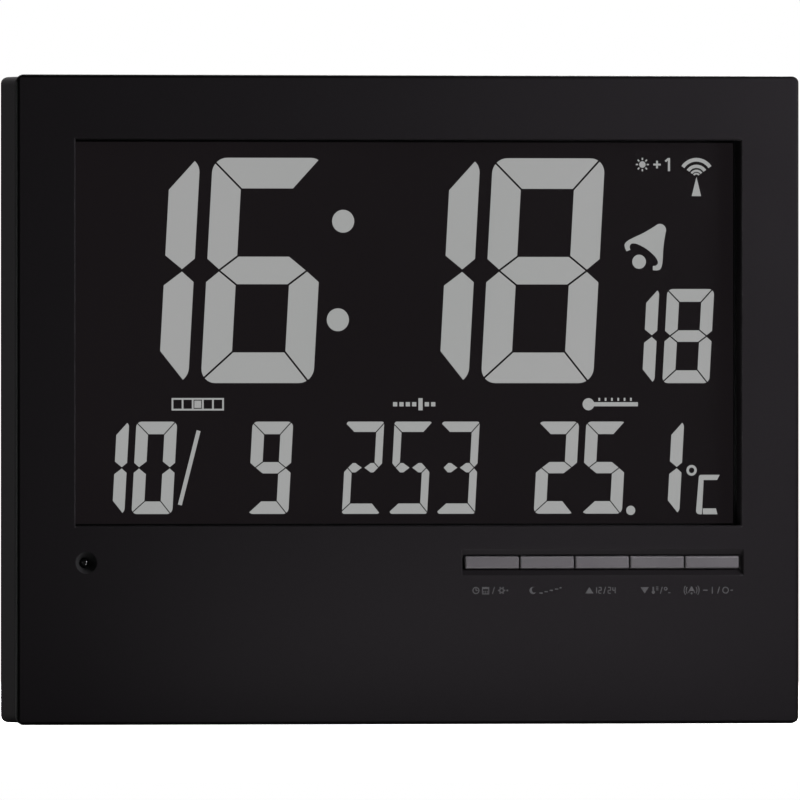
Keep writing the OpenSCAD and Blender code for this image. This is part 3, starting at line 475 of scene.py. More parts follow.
def plain_finish(name, dark, light, edge, rough, grain=2600.0, mottle=30.0, depth=SKIN_DEPTH, uniform=None):
    """Moulded or plated finish: dark and light vary with the grain, and edges take a third colour."""
    material, tree = new_material(name)
    skin = use_group(tree, moulded_skin, Grain=grain, Mottle=mottle)
    edges = use_group(tree, rubbed_edges)
    ground = mixed(tree, skin["Tone"], dark, light)
    return close_material(material, tree, {
        "Base Color": mixed(tree, edges["Mask"], ground, edge),
        "Roughness": between(tree, skin["Patch"], *rough),
        "Normal": bumped(tree, skin["Height"], SKIN_STRENGTH, depth),
        **(uniform or {})})


print("helper: plain_finish")

# %% [markdown]
# Black case and silver keys
#
# The shells are black styrene with a fine matt texture. In the picture the
# black is not pure: it is a very dark, slightly violet grey. The rounded rim around
# the front is smoother than the rest, and its colour is darkened by painted shade, so the
# outline is drawn by a black line. The dish of the light sensor and the sloping wall above
# the keys are paler with painted light, and the upright edges of the window carry a painted
# highlight. Separate pieces could carry these places, but masks made from the distance to
# the outline and to the neighbouring pieces do it on the same moulding. The keys are the
# same plastic with a silver-grey lacquer, smoother than the case.

# %% Rim and window masks
RIM_WIDTH = 1.1 * MM
RIM_FADE = 0.4 * MM
RIM_DEPTH = 3.3 * MM
LENS_LAP = 3.5 * MM
WINDOW_EDGE_WIDTH = 0.5 * MM


def axes_of(tree):
    """Place of a surface point as the sockets X, Y and Z."""
    return add(tree, "ShaderNodeSeparateXYZ", {0: place_of(tree)}).outputs


def rim_shade_mask(tree):
    """1 on the rounded rim around the front case, where shade is painted, and 0 elsewhere."""
    place = axes_of(tree)
    half_x, half_z = cad_box[1][0], cad_box[1][2] / 2
    from_side = computed(tree, "SUBTRACT", computed(tree, "ABSOLUTE", place["X"]), half_x - RIM_WIDTH)
    lifted = computed(tree, "SUBTRACT", place["Z"], half_z)
    from_top = computed(tree, "SUBTRACT", computed(tree, "ABSOLUTE", lifted), half_z - RIM_WIDTH)
    near = in_range(tree, computed(tree, "MAXIMUM", from_side, from_top), 0.0, RIM_FADE)
    front = computed(tree, "LESS_THAN", place["Y"], FACE + RIM_DEPTH)
    return computed(tree, "MULTIPLY", near, front)


def window_highlight_mask(tree):
    """1 along the upright edges of the window, which the lens overlaps by its lap, where a highlight is
    painted, and 0 elsewhere.
    """
    window_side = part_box("display_lens")[1].x - LENS_LAP
    from_middle = computed(tree, "ABSOLUTE", axes_of(tree)["X"])
    return computed(tree, "COMPARE", from_middle, window_side, WINDOW_EDGE_WIDTH)


print("masks: rim, window")

# %% Dish and trough masks
DISH_REACH = 3.6 * MM
DISH_SINK = 0.03 * MM
DISH_DEPTH = 4.0 * MM
TROUGH_WALL = (-1.0 * MM, 0.85 * MM)
TROUGH_END = 1.2 * MM
TROUGH_DEPTH = 2.1 * MM


def dish_light_mask(tree):
    """1 inside the shallow dish around the light sensor, below the face, where light is painted, and 0
    elsewhere.
    """
    low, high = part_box("light_sensor")
    axis = ((low.x + high.x) / 2, 0.0, (low.z + high.z) / 2)
    flat = add(tree, "ShaderNodeVectorMath", {
        0: place_of(tree), 1: (1.0, 0.0, 1.0)}, operation="MULTIPLY").outputs[0]
    away = add(tree, "ShaderNodeVectorMath", {0: flat, 1: axis}, operation="DISTANCE").outputs["Value"]
    sunk = computed(tree, "COMPARE", axes_of(tree)["Y"], FACE + DISH_SINK + DISH_DEPTH / 2, DISH_DEPTH / 2)
    return computed(tree, "MULTIPLY", computed(tree, "LESS_THAN", away, DISH_REACH), sunk)


def trough_light_mask(tree):
    """1 on the sloping wall above the keys, where light is painted, and 0 elsewhere."""
    first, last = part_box("mode_button"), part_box("alarm_button")
    place = axes_of(tree)
    middle_x, half_x = (first[0].x + last[1].x) / 2, (last[1].x - first[0].x) / 2 + TROUGH_END
    low_z, high_z = (first[1].z + step for step in TROUGH_WALL)
    across = computed(tree, "COMPARE", place["X"], middle_x, half_x)
    above = computed(tree, "COMPARE", place["Z"], (low_z + high_z) / 2, (high_z - low_z) / 2)
    front = computed(tree, "LESS_THAN", place["Y"], FACE + TROUGH_DEPTH)
    return computed(tree, "MULTIPLY", computed(tree, "MULTIPLY", across, above), front)


print("masks: dish, trough")

# %% Case and keys
# Painted shade: the rim's colour is darkened so that the outline shows as a black line.
RIM_PAINTED_SHADE = grey(0.0030)
# Painted light: the whole sensor dish is paler, standing in for the key light on its left wall.
DISH_PAINTED_LIGHT = grey(0.024)
# Painted light: the sloping wall above the keys is paler, standing in for light thrown up from below.
TROUGH_PAINTED_LIGHT = rgb(0.0185, 0.0172, 0.0182)
# Painted highlight: the upright window edges take a much paler edge colour.
WINDOW_HIGHLIGHT = grey(0.060)


def case_finish(name, dark, light, edge, rough, rim_rough):
    """Matt moulded black with a smoother rim that takes painted shade, painted light in the dish and above
    the keys, and a painted highlight at the window.
    """
    material, tree = new_material(name)
    skin = use_group(tree, moulded_skin, Grain=2400.0, Mottle=24.0)
    edges = use_group(tree, rubbed_edges)
    rim = rim_shade_mask(tree)
    moulded = mixed(tree, skin["Tone"], dark, light)
    # The edge colour is rubbed wear, and at the window's upright edges it is a painted highlight.
    rubbed = mixed(tree, window_highlight_mask(tree), edge, WINDOW_HIGHLIGHT)
    wear_and_highlight = mixed(tree, edges["Mask"], moulded, rubbed)
    # Painted light in the dish around the light sensor.
    dish_lit = mixed(tree, dish_light_mask(tree), wear_and_highlight, DISH_PAINTED_LIGHT)
    # Painted light on the sloping wall above the keys.
    ground = mixed(tree, trough_light_mask(tree), dish_lit, TROUGH_PAINTED_LIGHT)
    return close_material(material, tree, {
        # The rim takes painted shade as its colour and a smoother roughness than the face.
        "Base Color": mixed(tree, rim, ground, RIM_PAINTED_SHADE),
        "Roughness": between(tree, rim, between(tree, skin["Patch"], *rough), rim_rough),
        "Specular IOR Level": 0.04,
        "Normal": bumped(tree, skin["Height"], SKIN_STRENGTH, SKIN_DEPTH, Normal=edges["Rounded"])})


finishes["case_black"] = case_finish(
    "case_black", dark=rgb(0.0090, 0.0081, 0.0087), light=rgb(0.0106, 0.0096, 0.0103),
    edge=grey(0.021, 0.02), rough=(0.56, 0.64), rim_rough=0.3)
finishes["key_silver"] = plain_finish(
    "key_silver", dark=rgb(0.068, 0.065, 0.067), light=rgb(0.082, 0.079, 0.081), edge=grey(0.12),
    rough=(0.34, 0.42), grain=5200.0, mottle=60.0, depth=0.006 * MM, uniform={"Specular IOR Level": 0.4})
print("finishes:", sorted(finishes))

# %% [markdown]
# Clear lens and dark display
#
# The lens is a flat sheet of clear plastic. Simulating refraction would darken what
# lies behind it, because light would have to find its way through as caustics. A
# mostly transparent sheet that keeps its gloss looks the same from the front and
# lets lamps and shadows through. It reflects more at a slant, which is what
# Layer Weight measures. Behind it, the display is a dark film whose lit
# segments let the backlight through, so they glow evenly.

# %% Lens
LENS_BLEND = 0.25
SMEAR_LIFT = 1.4


def lens_finish(name, tint, clear, slanted, rough):
    """Thin clear sheet: almost invisible when seen straight on, glossier at a slant."""
    material, tree = new_material(name)
    slant = add(tree, "ShaderNodeLayerWeight", {"Blend": LENS_BLEND}).outputs["Facing"]
    smear = use_group(tree, moulded_skin, Grain=90.0, Mottle=14.0)
    return close_material(material, tree, {
        "Base Color": mixed(tree, smear["Tone"], tint, grey(tint[1] * SMEAR_LIFT)),
        "Roughness": between(tree, smear["Patch"], *rough),
        "Alpha": between(tree, slant, clear, slanted),
        "Specular IOR Level": 0.8})


finishes["lens_clear"] = lens_finish(
    "lens_clear", tint=grey(0.002), clear=0.06, slanted=0.6, rough=(0.04, 0.08))
finishes["lcd_glass"] = lens_finish(
    "lcd_glass", tint=rgb(0.02, 0.024, 0.03), clear=0.5, slanted=0.8, rough=(0.05, 0.1))
finishes["guide_clear"] = lens_finish(
    "guide_clear", tint=rgb(0.7, 0.75, 0.77), clear=0.45, slanted=0.8, rough=(0.08, 0.16))
print("finishes:", len(finishes))

# %% Film and segments
SATIN_LIFT = 1.15
FILM_STRENGTH = 0.4
FILM_DEPTH = 0.004 * MM


def glowing_finish(name, base, low, high, rough):
    """Backlit film: a dark satin surface with a faint, slightly uneven glow of its own."""
    material, tree = new_material(name)
    skin = use_group(tree, moulded_skin, Grain=7000.0, Mottle=12.0)
    return close_material(material, tree, {
        "Base Color": mixed(tree, skin["Tone"], base, grey(base[1] * SATIN_LIFT)),
        "Roughness": between(tree, skin["Patch"], *rough),
        "Emission Color": mixed(tree, skin["Patch"], low, high),
        "Emission Strength": 1.0,
        "Specular IOR Level": 0.02,
        "Normal": bumped(tree, skin["Height"], FILM_STRENGTH, FILM_DEPTH)})


finishes["segment_pale"] = glowing_finish(
    "segment_pale", base=grey(0.02), low=rgb(0.378, 0.386, 0.380), high=rgb(0.394, 0.396, 0.394),
    rough=(0.4, 0.5))
finishes["polarizer_dark"] = glowing_finish(
    "polarizer_dark", base=grey(0.0002), low=rgb(0.0089, 0.0071, 0.0080), high=rgb(0.0094, 0.0076, 0.0085),
    rough=(0.5, 0.6))
print("finishes:", len(finishes))

# %% [markdown]
# What lies inside
#
# The inner pieces are seen only through the vents, or when the battery door is off, but
# they are real pieces and each gets the finish of its material. Plain mouldings and plated
# metals come from the helper, with their numbers in one table. Circuit boards, the
# striped contact rubber, the wound coil and the cells need patterns of their own.

# %% Inner mouldings and metals
METAL = {"Metallic": 1.0}
INNER_LOOKS = {
    "frame_black": dict(
        dark=grey(0.008), light=grey(0.012), edge=grey(0.02), rough=(0.5, 0.6), depth=0.01 * MM),
    "foam_black": dict(
        dark=grey(0.004), light=grey(0.012), edge=grey(0.012), rough=(0.85, 0.95), grain=1500.0,
        depth=0.1 * MM),
    "film_white": dict(
        dark=grey(0.80, 0.01), light=grey(0.88, 0.01), edge=grey(0.7), rough=(0.6, 0.7), grain=900.0,
        depth=0.01 * MM),
    "led_white": dict(
        dark=rgb(0.80, 0.76, 0.55), light=rgb(0.88, 0.85, 0.70), edge=grey(0.8), rough=(0.3, 0.4),
        depth=0.01 * MM),
    "epoxy_black": dict(
        dark=grey(0.008), light=grey(0.014), edge=grey(0.02), rough=(0.25, 0.45), grain=300.0,
        depth=0.08 * MM),
    "nickel": dict(
        dark=grey(0.60, 0.01), light=grey(0.68, 0.01), edge=grey(0.78), rough=(0.22, 0.36), grain=1800.0,
        depth=0.006 * MM, uniform=METAL),
    "screw_steel": dict(
        dark=grey(0.42, -0.01), light=grey(0.55, -0.01), edge=grey(0.7), rough=(0.30, 0.45),
        depth=0.01 * MM, uniform=METAL),
    "capacitor_sleeve": dict(
        dark=rgb(0.012, 0.018, 0.07), light=rgb(0.016, 0.024, 0.09), edge=grey(0.1), rough=(0.25, 0.35),
        depth=0.008 * MM),
    "switch_black": dict(
        dark=grey(0.012), light=grey(0.018), edge=grey(0.03), rough=(0.45, 0.55), depth=0.01 * MM),
    "bead_black": dict(
        dark=rgb(0.008, 0.01, 0.018), light=rgb(0.012, 0.014, 0.024), edge=grey(0.03), rough=(0.15, 0.3),
        grain=700.0),
    "sensor_dark": dict(
        dark=grey(0.003), light=grey(0.005), edge=grey(0.006), rough=(0.06, 0.14), grain=500.0,
        depth=0.003 * MM),
    "ferrite_grey": dict(
        dark=grey(0.018), light=grey(0.036), edge=grey(0.05), rough=(0.5, 0.7), grain=1800.0,
        depth=0.04 * MM),
    "buzzer_black": dict(
        dark=grey(0.010), light=grey(0.015), edge=grey(0.025), rough=(0.4, 0.5), depth=0.01 * MM),
    "lead_red": dict(
        dark=rgb(0.34, 0.015, 0.012), light=rgb(0.42, 0.022, 0.018), edge=rgb(0.5, 0.05, 0.04),
        rough=(0.35, 0.5), grain=1200.0),
    "pad_rubber": dict(
        dark=grey(0.014), light=grey(0.024), edge=grey(0.03), rough=(0.75, 0.9), grain=1600.0,
        depth=0.06 * MM)}
for name, look in INNER_LOOKS.items():
    finishes[name] = plain_finish(name, **look)
print("inner finishes:", len(INNER_LOOKS))

# %% [markdown]
# Boards, coil, ribbon and cells
#
# A circuit board shows copper tracks as paler lines under its green lacquer. A Brick
# texture with thin mortar gives straight tracks that jog sideways, which is close to
# how tracks run. The coil, the ribbon and the contact rubber are lines across X. A
# cell's jacket is painted in two broad bands, green and silver, and bare metal shows on
# its edges.

# %% Boards
TRACKS = 160.0
TRACK_STRENGTH = 0.5
TRACK_DEPTH = 0.04 * MM


def board_finish(name):
    """Green lacquer over copper tracks."""
    material, tree = new_material(name)
    skin = use_group(tree, moulded_skin, Grain=1500.0)
    turned = add(tree, "ShaderNodeMapping", {
        "Vector": place_of(tree), "Rotation": (math.radians(90), 0.0, 0.0),
        "Scale": (TRACKS, TRACKS, TRACKS)})
    track = add(tree, "ShaderNodeTexBrick", {
        "Vector": turned.outputs[0], "Color1": grey(0.0), "Color2": grey(0.0), "Mortar": grey(1.0),
        "Scale": 1.0, "Mortar Size": 0.03, "Mortar Smooth": 0.1, "Row Height": 0.22, "Brick Width": 1.3,
    }).outputs["Fac"]
    lacquer = mixed(tree, skin["Tone"], rgb(0.010, 0.075, 0.028), rgb(0.014, 0.095, 0.036))
    return close_material(material, tree, {
        "Base Color": mixed(tree, track, lacquer, rgb(0.035, 0.17, 0.05)),
        "Roughness": between(tree, skin["Patch"], 0.25, 0.4),
        "Normal": bumped(tree, track, TRACK_STRENGTH, TRACK_DEPTH)})


finishes["board_green"] = board_finish("board_green")
print("finishes:", len(finishes))

# %% Coil, ribbon and rubber
LINE_STRENGTH = 0.8


def lined_finish(name, dark, light, lines, rough, depth, uniform=None):
    """Fine lines across X that alternate between two colours."""
    material, tree = new_material(name)
    line = use_group(tree, drawn_lines, Lines=lines)["Height"]
    skin = use_group(tree, moulded_skin, Grain=1200.0)
    return close_material(material, tree, {
        "Base Color": mixed(tree, line, dark, light),
        "Roughness": between(tree, skin["Patch"], *rough),
        "Normal": bumped(tree, line, LINE_STRENGTH, depth),
        **(uniform or {})})


finishes["copper_wire"] = lined_finish(
    "copper_wire", dark=rgb(0.20, 0.05, 0.014), light=rgb(0.52, 0.19, 0.07), lines=4000.0, rough=(0.25, 0.4),
    depth=0.1 * MM, uniform={"Metallic": 0.8})
finishes["ribbon_cream"] = lined_finish(
    "ribbon_cream", dark=rgb(0.46, 0.42, 0.30), light=rgb(0.58, 0.55, 0.44), lines=1000.0, rough=(0.4, 0.5),
    depth=0.02 * MM)
finishes["zebra_grey"] = lined_finish(
    "zebra_grey", dark=grey(0.02), light=grey(0.09), lines=5000.0, rough=(0.6, 0.8), depth=0.02 * MM)
print("finishes:", len(finishes))

# %% Cells
CELL_REPEAT = 58.9 * MM
SILVER_SHARE = 0.32
SILVER_METAL = 0.7


def cell_finish(name):
    """Jacket in two bands along X, with fine scuffs and bare edges."""
    material, tree = new_material(name)
    skin = use_group(tree, moulded_skin, Grain=900.0, Mottle=40.0)
    bare = use_group(tree, rubbed_edges, Radius=0.6 * MM)["Mask"]
    along = computed(tree, "FRACT", computed(tree, "DIVIDE", axes_of(tree)["X"], CELL_REPEAT))
    silver = computed(tree, "LESS_THAN", along, SILVER_SHARE)
    jacket = mixed(tree, skin["Tone"], rgb(0.014, 0.085, 0.048), rgb(0.020, 0.11, 0.06))
    painted = mixed(tree, silver, jacket, grey(0.42, 0.02))
    return close_material(material, tree, {
        "Base Color": mixed(tree, bare, painted, grey(0.6)),
        "Roughness": between(tree, skin["Patch"], 0.28, 0.4),
        "Metallic": computed(tree, "MAXIMUM", bare, computed(tree, "MULTIPLY", silver, SILVER_METAL))})


finishes["cell_jacket"] = cell_finish("cell_jacket")
print("finishes:", len(finishes))

# %% [markdown]
# Dressing the loaded pieces
#
# Every piece of a real clock is made of one material, and the record names it. One loop can
# therefore dress them all. Assigning by hand would be easy to get wrong with so many pieces.

# %% Dress the nodes
for part in frame["record"]["subparts"]:
    dress(nodes[part["node"]], finishes[part["material_slot"]])

# %% [markdown]
# Signs on the display
#
# Beside its digits the display lights a few small signs: a radio mast, a bell, a sun with a
# one for summer time, a mark above each field of the bottom row and a degree sign at its
# end. They are thin tiles in the plane of the digits. Text objects or picture textures could
# hold them, but a few arcs and bars drawn as outlines stay sharp from any distance and are
# easy to change. Each outline is a list of points in millimetres, seen from the front.

# %% Curved outlines
def arc(x, z, radius, start, end, steps=12):
    """Points along a circle from one angle to another, in degrees."""
    turns = [math.radians(start + (end - start) * k / steps) for k in range(steps + 1)]
    return [(x + radius * math.cos(a), z + radius * math.sin(a)) for a in turns]


def disc(x, z, radius, steps=24):
    """Filled circle."""
    return arc(x, z, radius, 0, 360, steps)[:-1]


def band(x, z, outer, inner, start, end, steps=12):
    """Curved stripe between two radii."""
    return arc(x, z, outer, start, end, steps) + arc(x, z, inner, end, start, steps)


def ring(x, z, outer, inner):
    """Whole ring as two half stripes."""
    return [band(x, z, outer, inner, 0, 180), band(x, z, outer, inner, 180, 360)]


print("outlines: arc, disc, band, ring")

# %% Straight outlines
def bar(start, end, width):
    """Straight stripe between two points."""
    along = Vector(end) - Vector(start)
    side = Vector((-along.y, along.x)).normalized() * width / 2
    corners = [Vector(start) + side, Vector(start) - side, Vector(end) - side, Vector(end) + side]
    return [tuple(c) for c in corners]


def upright(x, low, high, width):
    """Straight stripe from a lower to a higher place."""
    return bar((x, low), (x, high), width)


def block(x, z, width, height):
    """Rectangle around its middle."""
    return bar((x - width / 2, z), (x + width / 2, z), height)


def spokes(x, z, count, near, far, width):
    """Short bars that stand out all around a middle."""
    turns = [2 * math.pi * k / count for k in range(count)]
    return [bar((x + near * math.cos(a), z + near * math.sin(a)),
                (x + far * math.cos(a), z + far * math.sin(a)), width) for a in turns]


def moved(outlines, x, z, turn=0.0, size=1.0):
    """Outlines drawn around the origin, turned, resized and put in their place."""
    c, s = math.cos(math.radians(turn)) * size, math.sin(math.radians(turn)) * size
    return [[(x + c * u - s * v, z + s * u + c * v) for u, v in outline] for outline in outlines]


print("outlines: bar, upright, block, spokes; and moved for their place")

# %% Tiles
def join_rings(mesh, first, second):
    """Faces between two closed rings of points."""
    for k in range(len(first)):
        n = (k + 1) % len(first)
        mesh.faces.new((first[k], second[k], second[n], first[n]))


def case_piece(name, mesh, finish):
    """Piece from a closed bmesh, with its finish and its slot, that rides on the case."""
    bmesh.ops.recalc_face_normals(mesh, faces=mesh.faces)
    piece = piece_of(name, mesh)
    dress(piece, finish)
    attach(piece, "case")
    return piece


def tiles(name, outlines, front, back, finish):
    """Flat closed tiles between two depths along Y, as one piece."""
    mesh = bmesh.new()
    for outline in outlines:
        near = [mesh.verts.new((x * MM, front, z * MM)) for x, z in outline]
        far = [mesh.verts.new((x * MM, back, z * MM)) for x, z in outline]
        mesh.faces.new(near)
        mesh.faces.new(far[::-1])
        join_rings(mesh, near, far)
    return case_piece(name, mesh, finish)


print("helpers: join_rings, case_piece, tiles")

# %% Mast and sun
MAST = (88.5, 157.9)
MAST_WAVES = ((5.50, 1.06), (3.54, 0.94), (2.10, 0.62), (1.20, 0.50))
MAST_SPREAD = (35, 145)
MAST_FOOT = 152.35
MAST_FOOT_W = 2.8
SUN = (72.25, 161.45)
SUN_RAYS = 8
PLUS_STEP = 4.4
ONE_STEP = 8.0


def mast_sign():
    """Waves above the tip of a mast."""
    x, z = MAST
    foot = [(x, z), (x - MAST_FOOT_W / 2, MAST_FOOT), (x + MAST_FOOT_W / 2, MAST_FOOT)]
    return [band(x, z, outer, outer - width, *MAST_SPREAD) for outer, width in MAST_WAVES] + [foot]


def summer_sign():
    """Sun, plus and one."""
    x, z = SUN
    plus, one = x + PLUS_STEP, x + ONE_STEP
    sun = [disc(x, z, 0.95)] + spokes(x, z, SUN_RAYS, 1.30, 1.95, 0.42)
    return sun + [
        block(plus, z, 2.2, 0.55),
        upright(plus, z - 1.1, z - 0.3, 0.55), upright(plus, z + 0.3, z + 1.1, 0.55),
        upright(one, z - 1.9, z + 1.9, 0.62), bar((one - 1.1, z + 0.9), (one - 0.2, z + 1.65), 0.55)]


print("signs: mast, summer time")

# %% Bell
BELL_TURN = -34.5
BELL_CROWN = (0.0, 10.1, 1.85)
BELL_SIDE = [(2.85, 8.2), (3.95, 6.1), (5.2, 4.05), (6.15, 2.3), (6.45, 0.9), (5.8, 0.0), (4.8, -0.6)]
BELL_HOLLOW = [(4.1, 0.4), (4.75, 0.95), (4.95, 1.7), (4.6, 2.3), (3.3, 2.95), (1.2, 3.3), (0.0, 3.35)]
CLAPPER = (0.0, -0.95, 2.05)


def through(points, steps=5):
    """Smooth line through a few points; each stretch heeds the point before it and the one after it."""
    padded = [points[0]] + points + [points[-1]]
    line = []
    for a, b, c, d in zip(padded, padded[1:], padded[2:], padded[3:]):
        for k in range(steps):
            t = k / steps
            line.append(tuple(
                0.5 * (2 * q + (r - p) * t + (2 * p - 5 * q + 4 * r - s) * t ** 2
                       + (3 * q - p - 3 * r + s) * t ** 3) for p, q, r, s in zip(a, b, c, d)))
    return line + [points[-1]]


def bell_outline():
    """Bell seen from the side, around the middle of its mouth: crown, flared sides and hooked lips."""
    crown = arc(*BELL_CROWN, 90, 10, 6)
    side = through([crown[-1]] + BELL_SIDE)
    right = crown[:-1] + side + through(BELL_HOLLOW)
    return right + [(-u, v) for u, v in reversed(right[1:-1])]


def bell_sign(x, z, size=1.0, turn=BELL_TURN):
    """Bell with its clapper."""
    return moved([bell_outline(), disc(*CLAPPER)], x, z, turn, size)


print("sign: bell,", len(bell_outline()), "points")

# %% Marks above and beside the bottom row
DEGREE = (87.05, 73.1)
UNIT_LEFT, UNIT_RIGHT, UNIT_LOW, UNIT_HIGH = 88.4, 95.5, 60.4, 71.8
UNIT_STROKE = 1.5


def date_sign(x, z, width=15.6, height=3.6, stroke=0.5, cells=5, today=2):
    """Strip of calendar cells, with today's filled."""
    left, low = x - width / 2 + stroke / 2, z - height / 2
    step = (width - stroke) / cells
    rails = [block(x, z + way * (height - stroke) / 2, width, stroke) for way in (-1, 1)]
    posts = [upright(left + step * k, low + stroke, low + height - stroke, stroke) for k in range(cells + 1)]
    filled = block(left + step * (today + 0.5), z, step - 2 * stroke, height - 3 * stroke)
    return rails + posts + [filled]


def week_sign(x, z, days=7, pitch=1.9, side=1.25, tall=3.5, today=4):
    """Row of seven days, with today's as a tall bar."""
    places = [x + (k - (days - 1) / 2) * pitch for k in range(days)]
    return [block(u, z, side, tall if k == today else side) for k, u in enumerate(places)]


def thermometer_sign(x, z, length=16.6, bulb=1.75, tube=1.2, ticks=6, first=5.0, pitch=1.9, stroke=0.5):
    """Lying thermometer with ticks above its tube."""
    left = x - length / 2
    marks = [upright(left + first + pitch * k, z + 0.95, z + 1.85, stroke) for k in range(ticks)]
    return [disc(left + bulb, z, bulb), bar((left + 2 * bulb - 0.1, z), (x + length / 2, z), tube)] + marks


def unit_sign():
    """Degree ring above an angular bracket of two strokes."""
    turn = (UNIT_LEFT + 1.55, UNIT_HIGH - 0.75)
    top = arc(*turn, 0.75, 160, 90, 4) + [
        (UNIT_RIGHT, UNIT_HIGH), (UNIT_RIGHT - 0.8, UNIT_HIGH - UNIT_STROKE),
        (UNIT_LEFT + 2.25, UNIT_HIGH - UNIT_STROKE), (UNIT_LEFT + 1.72, UNIT_LOW)]
    top += arc(UNIT_LEFT + 1.0, UNIT_LOW + 1.0, 1.0, 270, 180, 4)
    foot = [(UNIT_LEFT + 2.05, UNIT_LOW), (UNIT_LEFT + 2.0, UNIT_LOW + UNIT_STROKE + 0.2),
            (UNIT_RIGHT - 1.15, UNIT_LOW + UNIT_STROKE + 0.2), (UNIT_RIGHT - 0.7, UNIT_LOW)]
    return ring(*DEGREE, 1.55, 0.82) + [top, foot]


print("signs: date, week, thermometer, unit")

# %% Display signs
FILM_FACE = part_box("front_polarizer")[0].y
TILE_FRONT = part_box("lcd_segments")[0].y
BELL = (71.8, 134.15)
CAPTION_Z = 92.2
DATE_X, WEEK_X, TEMPERATURE_X = -60.9, 3.8, 62.6

display_signs = {
    "mast_sign": mast_sign(), "bell_sign": bell_sign(*BELL), "summer_sign": summer_sign(),
    "date_sign": date_sign(DATE_X, CAPTION_Z), "week_sign": week_sign(WEEK_X, CAPTION_Z),
    "temperature_sign": thermometer_sign(TEMPERATURE_X, CAPTION_Z), "unit_sign": unit_sign()}
for name, outlines in display_signs.items():
    tiles(name, outlines, TILE_FRONT, FILM_FACE, finishes["segment_pale"])
print("display signs:", {name: len(outlines) for name, outlines in display_signs.items()})

# %% [markdown]
# Black lines above and below the display
#
# A thin black line shows above and below the lit part of the display, just inside the
# window. The film's own finish could darken there, but its mesh ends behind the case, so two
# flat tiles on the film, as thin as the lit signs, are easier to place. The window is the lens
# less the lap by which the lens is glued in.

# %% Display border
BORDER_LOW = 0.6
BORDER_HIGH = 0.7
lens_low, lens_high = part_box("display_lens")
window_low, window_high = (lens_low.z + LENS_LAP) / MM, (lens_high.z - LENS_LAP) / MM
window_w = (lens_high.x - lens_low.x - 2 * LENS_LAP) / MM
border_lines = [block(0.0, window_low + BORDER_LOW / 2, window_w, BORDER_LOW),
                block(0.0, window_high - BORDER_HIGH / 2, window_w, BORDER_HIGH)]
finishes["border_black"] = plain_finish(
    "border_black", dark=grey(0.0006), light=grey(0.0010), edge=grey(0.0010), rough=(0.6, 0.7), grain=6000.0,
    depth=0.003 * MM, uniform={"Specular IOR Level": 0.05})
tiles("display_border", border_lines, TILE_FRONT, FILM_FACE, finishes["border_black"])
print("display border:", len(border_lines), "lines, window", round(window_w, 2), "mm wide")

# %% [markdown]
# Digits sawn from a plate
#
# Nothing on the clock is as bright as its digits, so their corners and gaps are looked at
# first. The mechanical model holds them as plain tiles. Here they are drawn again in the same
# place, with the round corners and the slightly uneven slants of the real ones. A digit starts
# as a leaning plate, and straight saw cuts part it into its seven bars. Listing every corner of
# every bar would give the same shapes, but a change of one slant would then touch many points.

# %% A straight saw cut
SPLIT_SLANT = 1.4


def sawn(outline, start, end, keep, width=0.0):
    """What a straight saw cut leaves of a convex outline, on the side of the point to keep."""
    side = Vector((start[1] - end[1], end[0] - start[0])).normalized()
    if (Vector(keep) - Vector(start)).dot(side) < 0:
        side = -side
    depths = [(Vector(spot) - Vector(start)).dot(side) - width / 2 for spot in outline]
    left = []
    for k in range(len(outline)):
        n = (k + 1) % len(outline)
        if depths[k] >= 0:
            left.append(outline[k])
        if (depths[k] >= 0) != (depths[n] >= 0):
            share = depths[k] / (depths[k] - depths[n])
            left.append(tuple(Vector(outline[k]).lerp(Vector(outline[n]), share)))
    return left


def split_bar(middle, tip, split, half_h):
    """Two halves of a middle bar, cut apart by a pointed notch from above and below."""
    halves = []
    for sx in (-1, 1):
        half = middle
        for sz in (-1, 1):
            notch = (sx * split, 0.0), (sx * (split + SPLIT_SLANT * half_h), sz * half_h)
            half = sawn(half, *notch, (sx * tip, 0.0))
        halves.append(half)
    return halves


print("helpers: sawn, split_bar")

# %% Seven bars of a digit
LEAN = math.tan(math.radians(3.2))
TIP_SHARE = 0.41
SHOULDER_SHARE = 0.68
MIDDLE_SHARE = 0.9
CORNER_STEPS = 8
CORNER_SLANTS = {(-1, 1): 44.7, (1, 1): 47.0, (-1, -1): 41.3, (1, -1): 50.7}
CORNER_STARTS = {(1, 1): 0, (-1, 1): 90, (-1, -1): 180, (1, -1): 270}
LEVELS = {"a": 1, "d": -1}
POSTS = {"b": (1, 1), "c": (1, -1), "e": (-1, -1), "f": (-1, 1)}


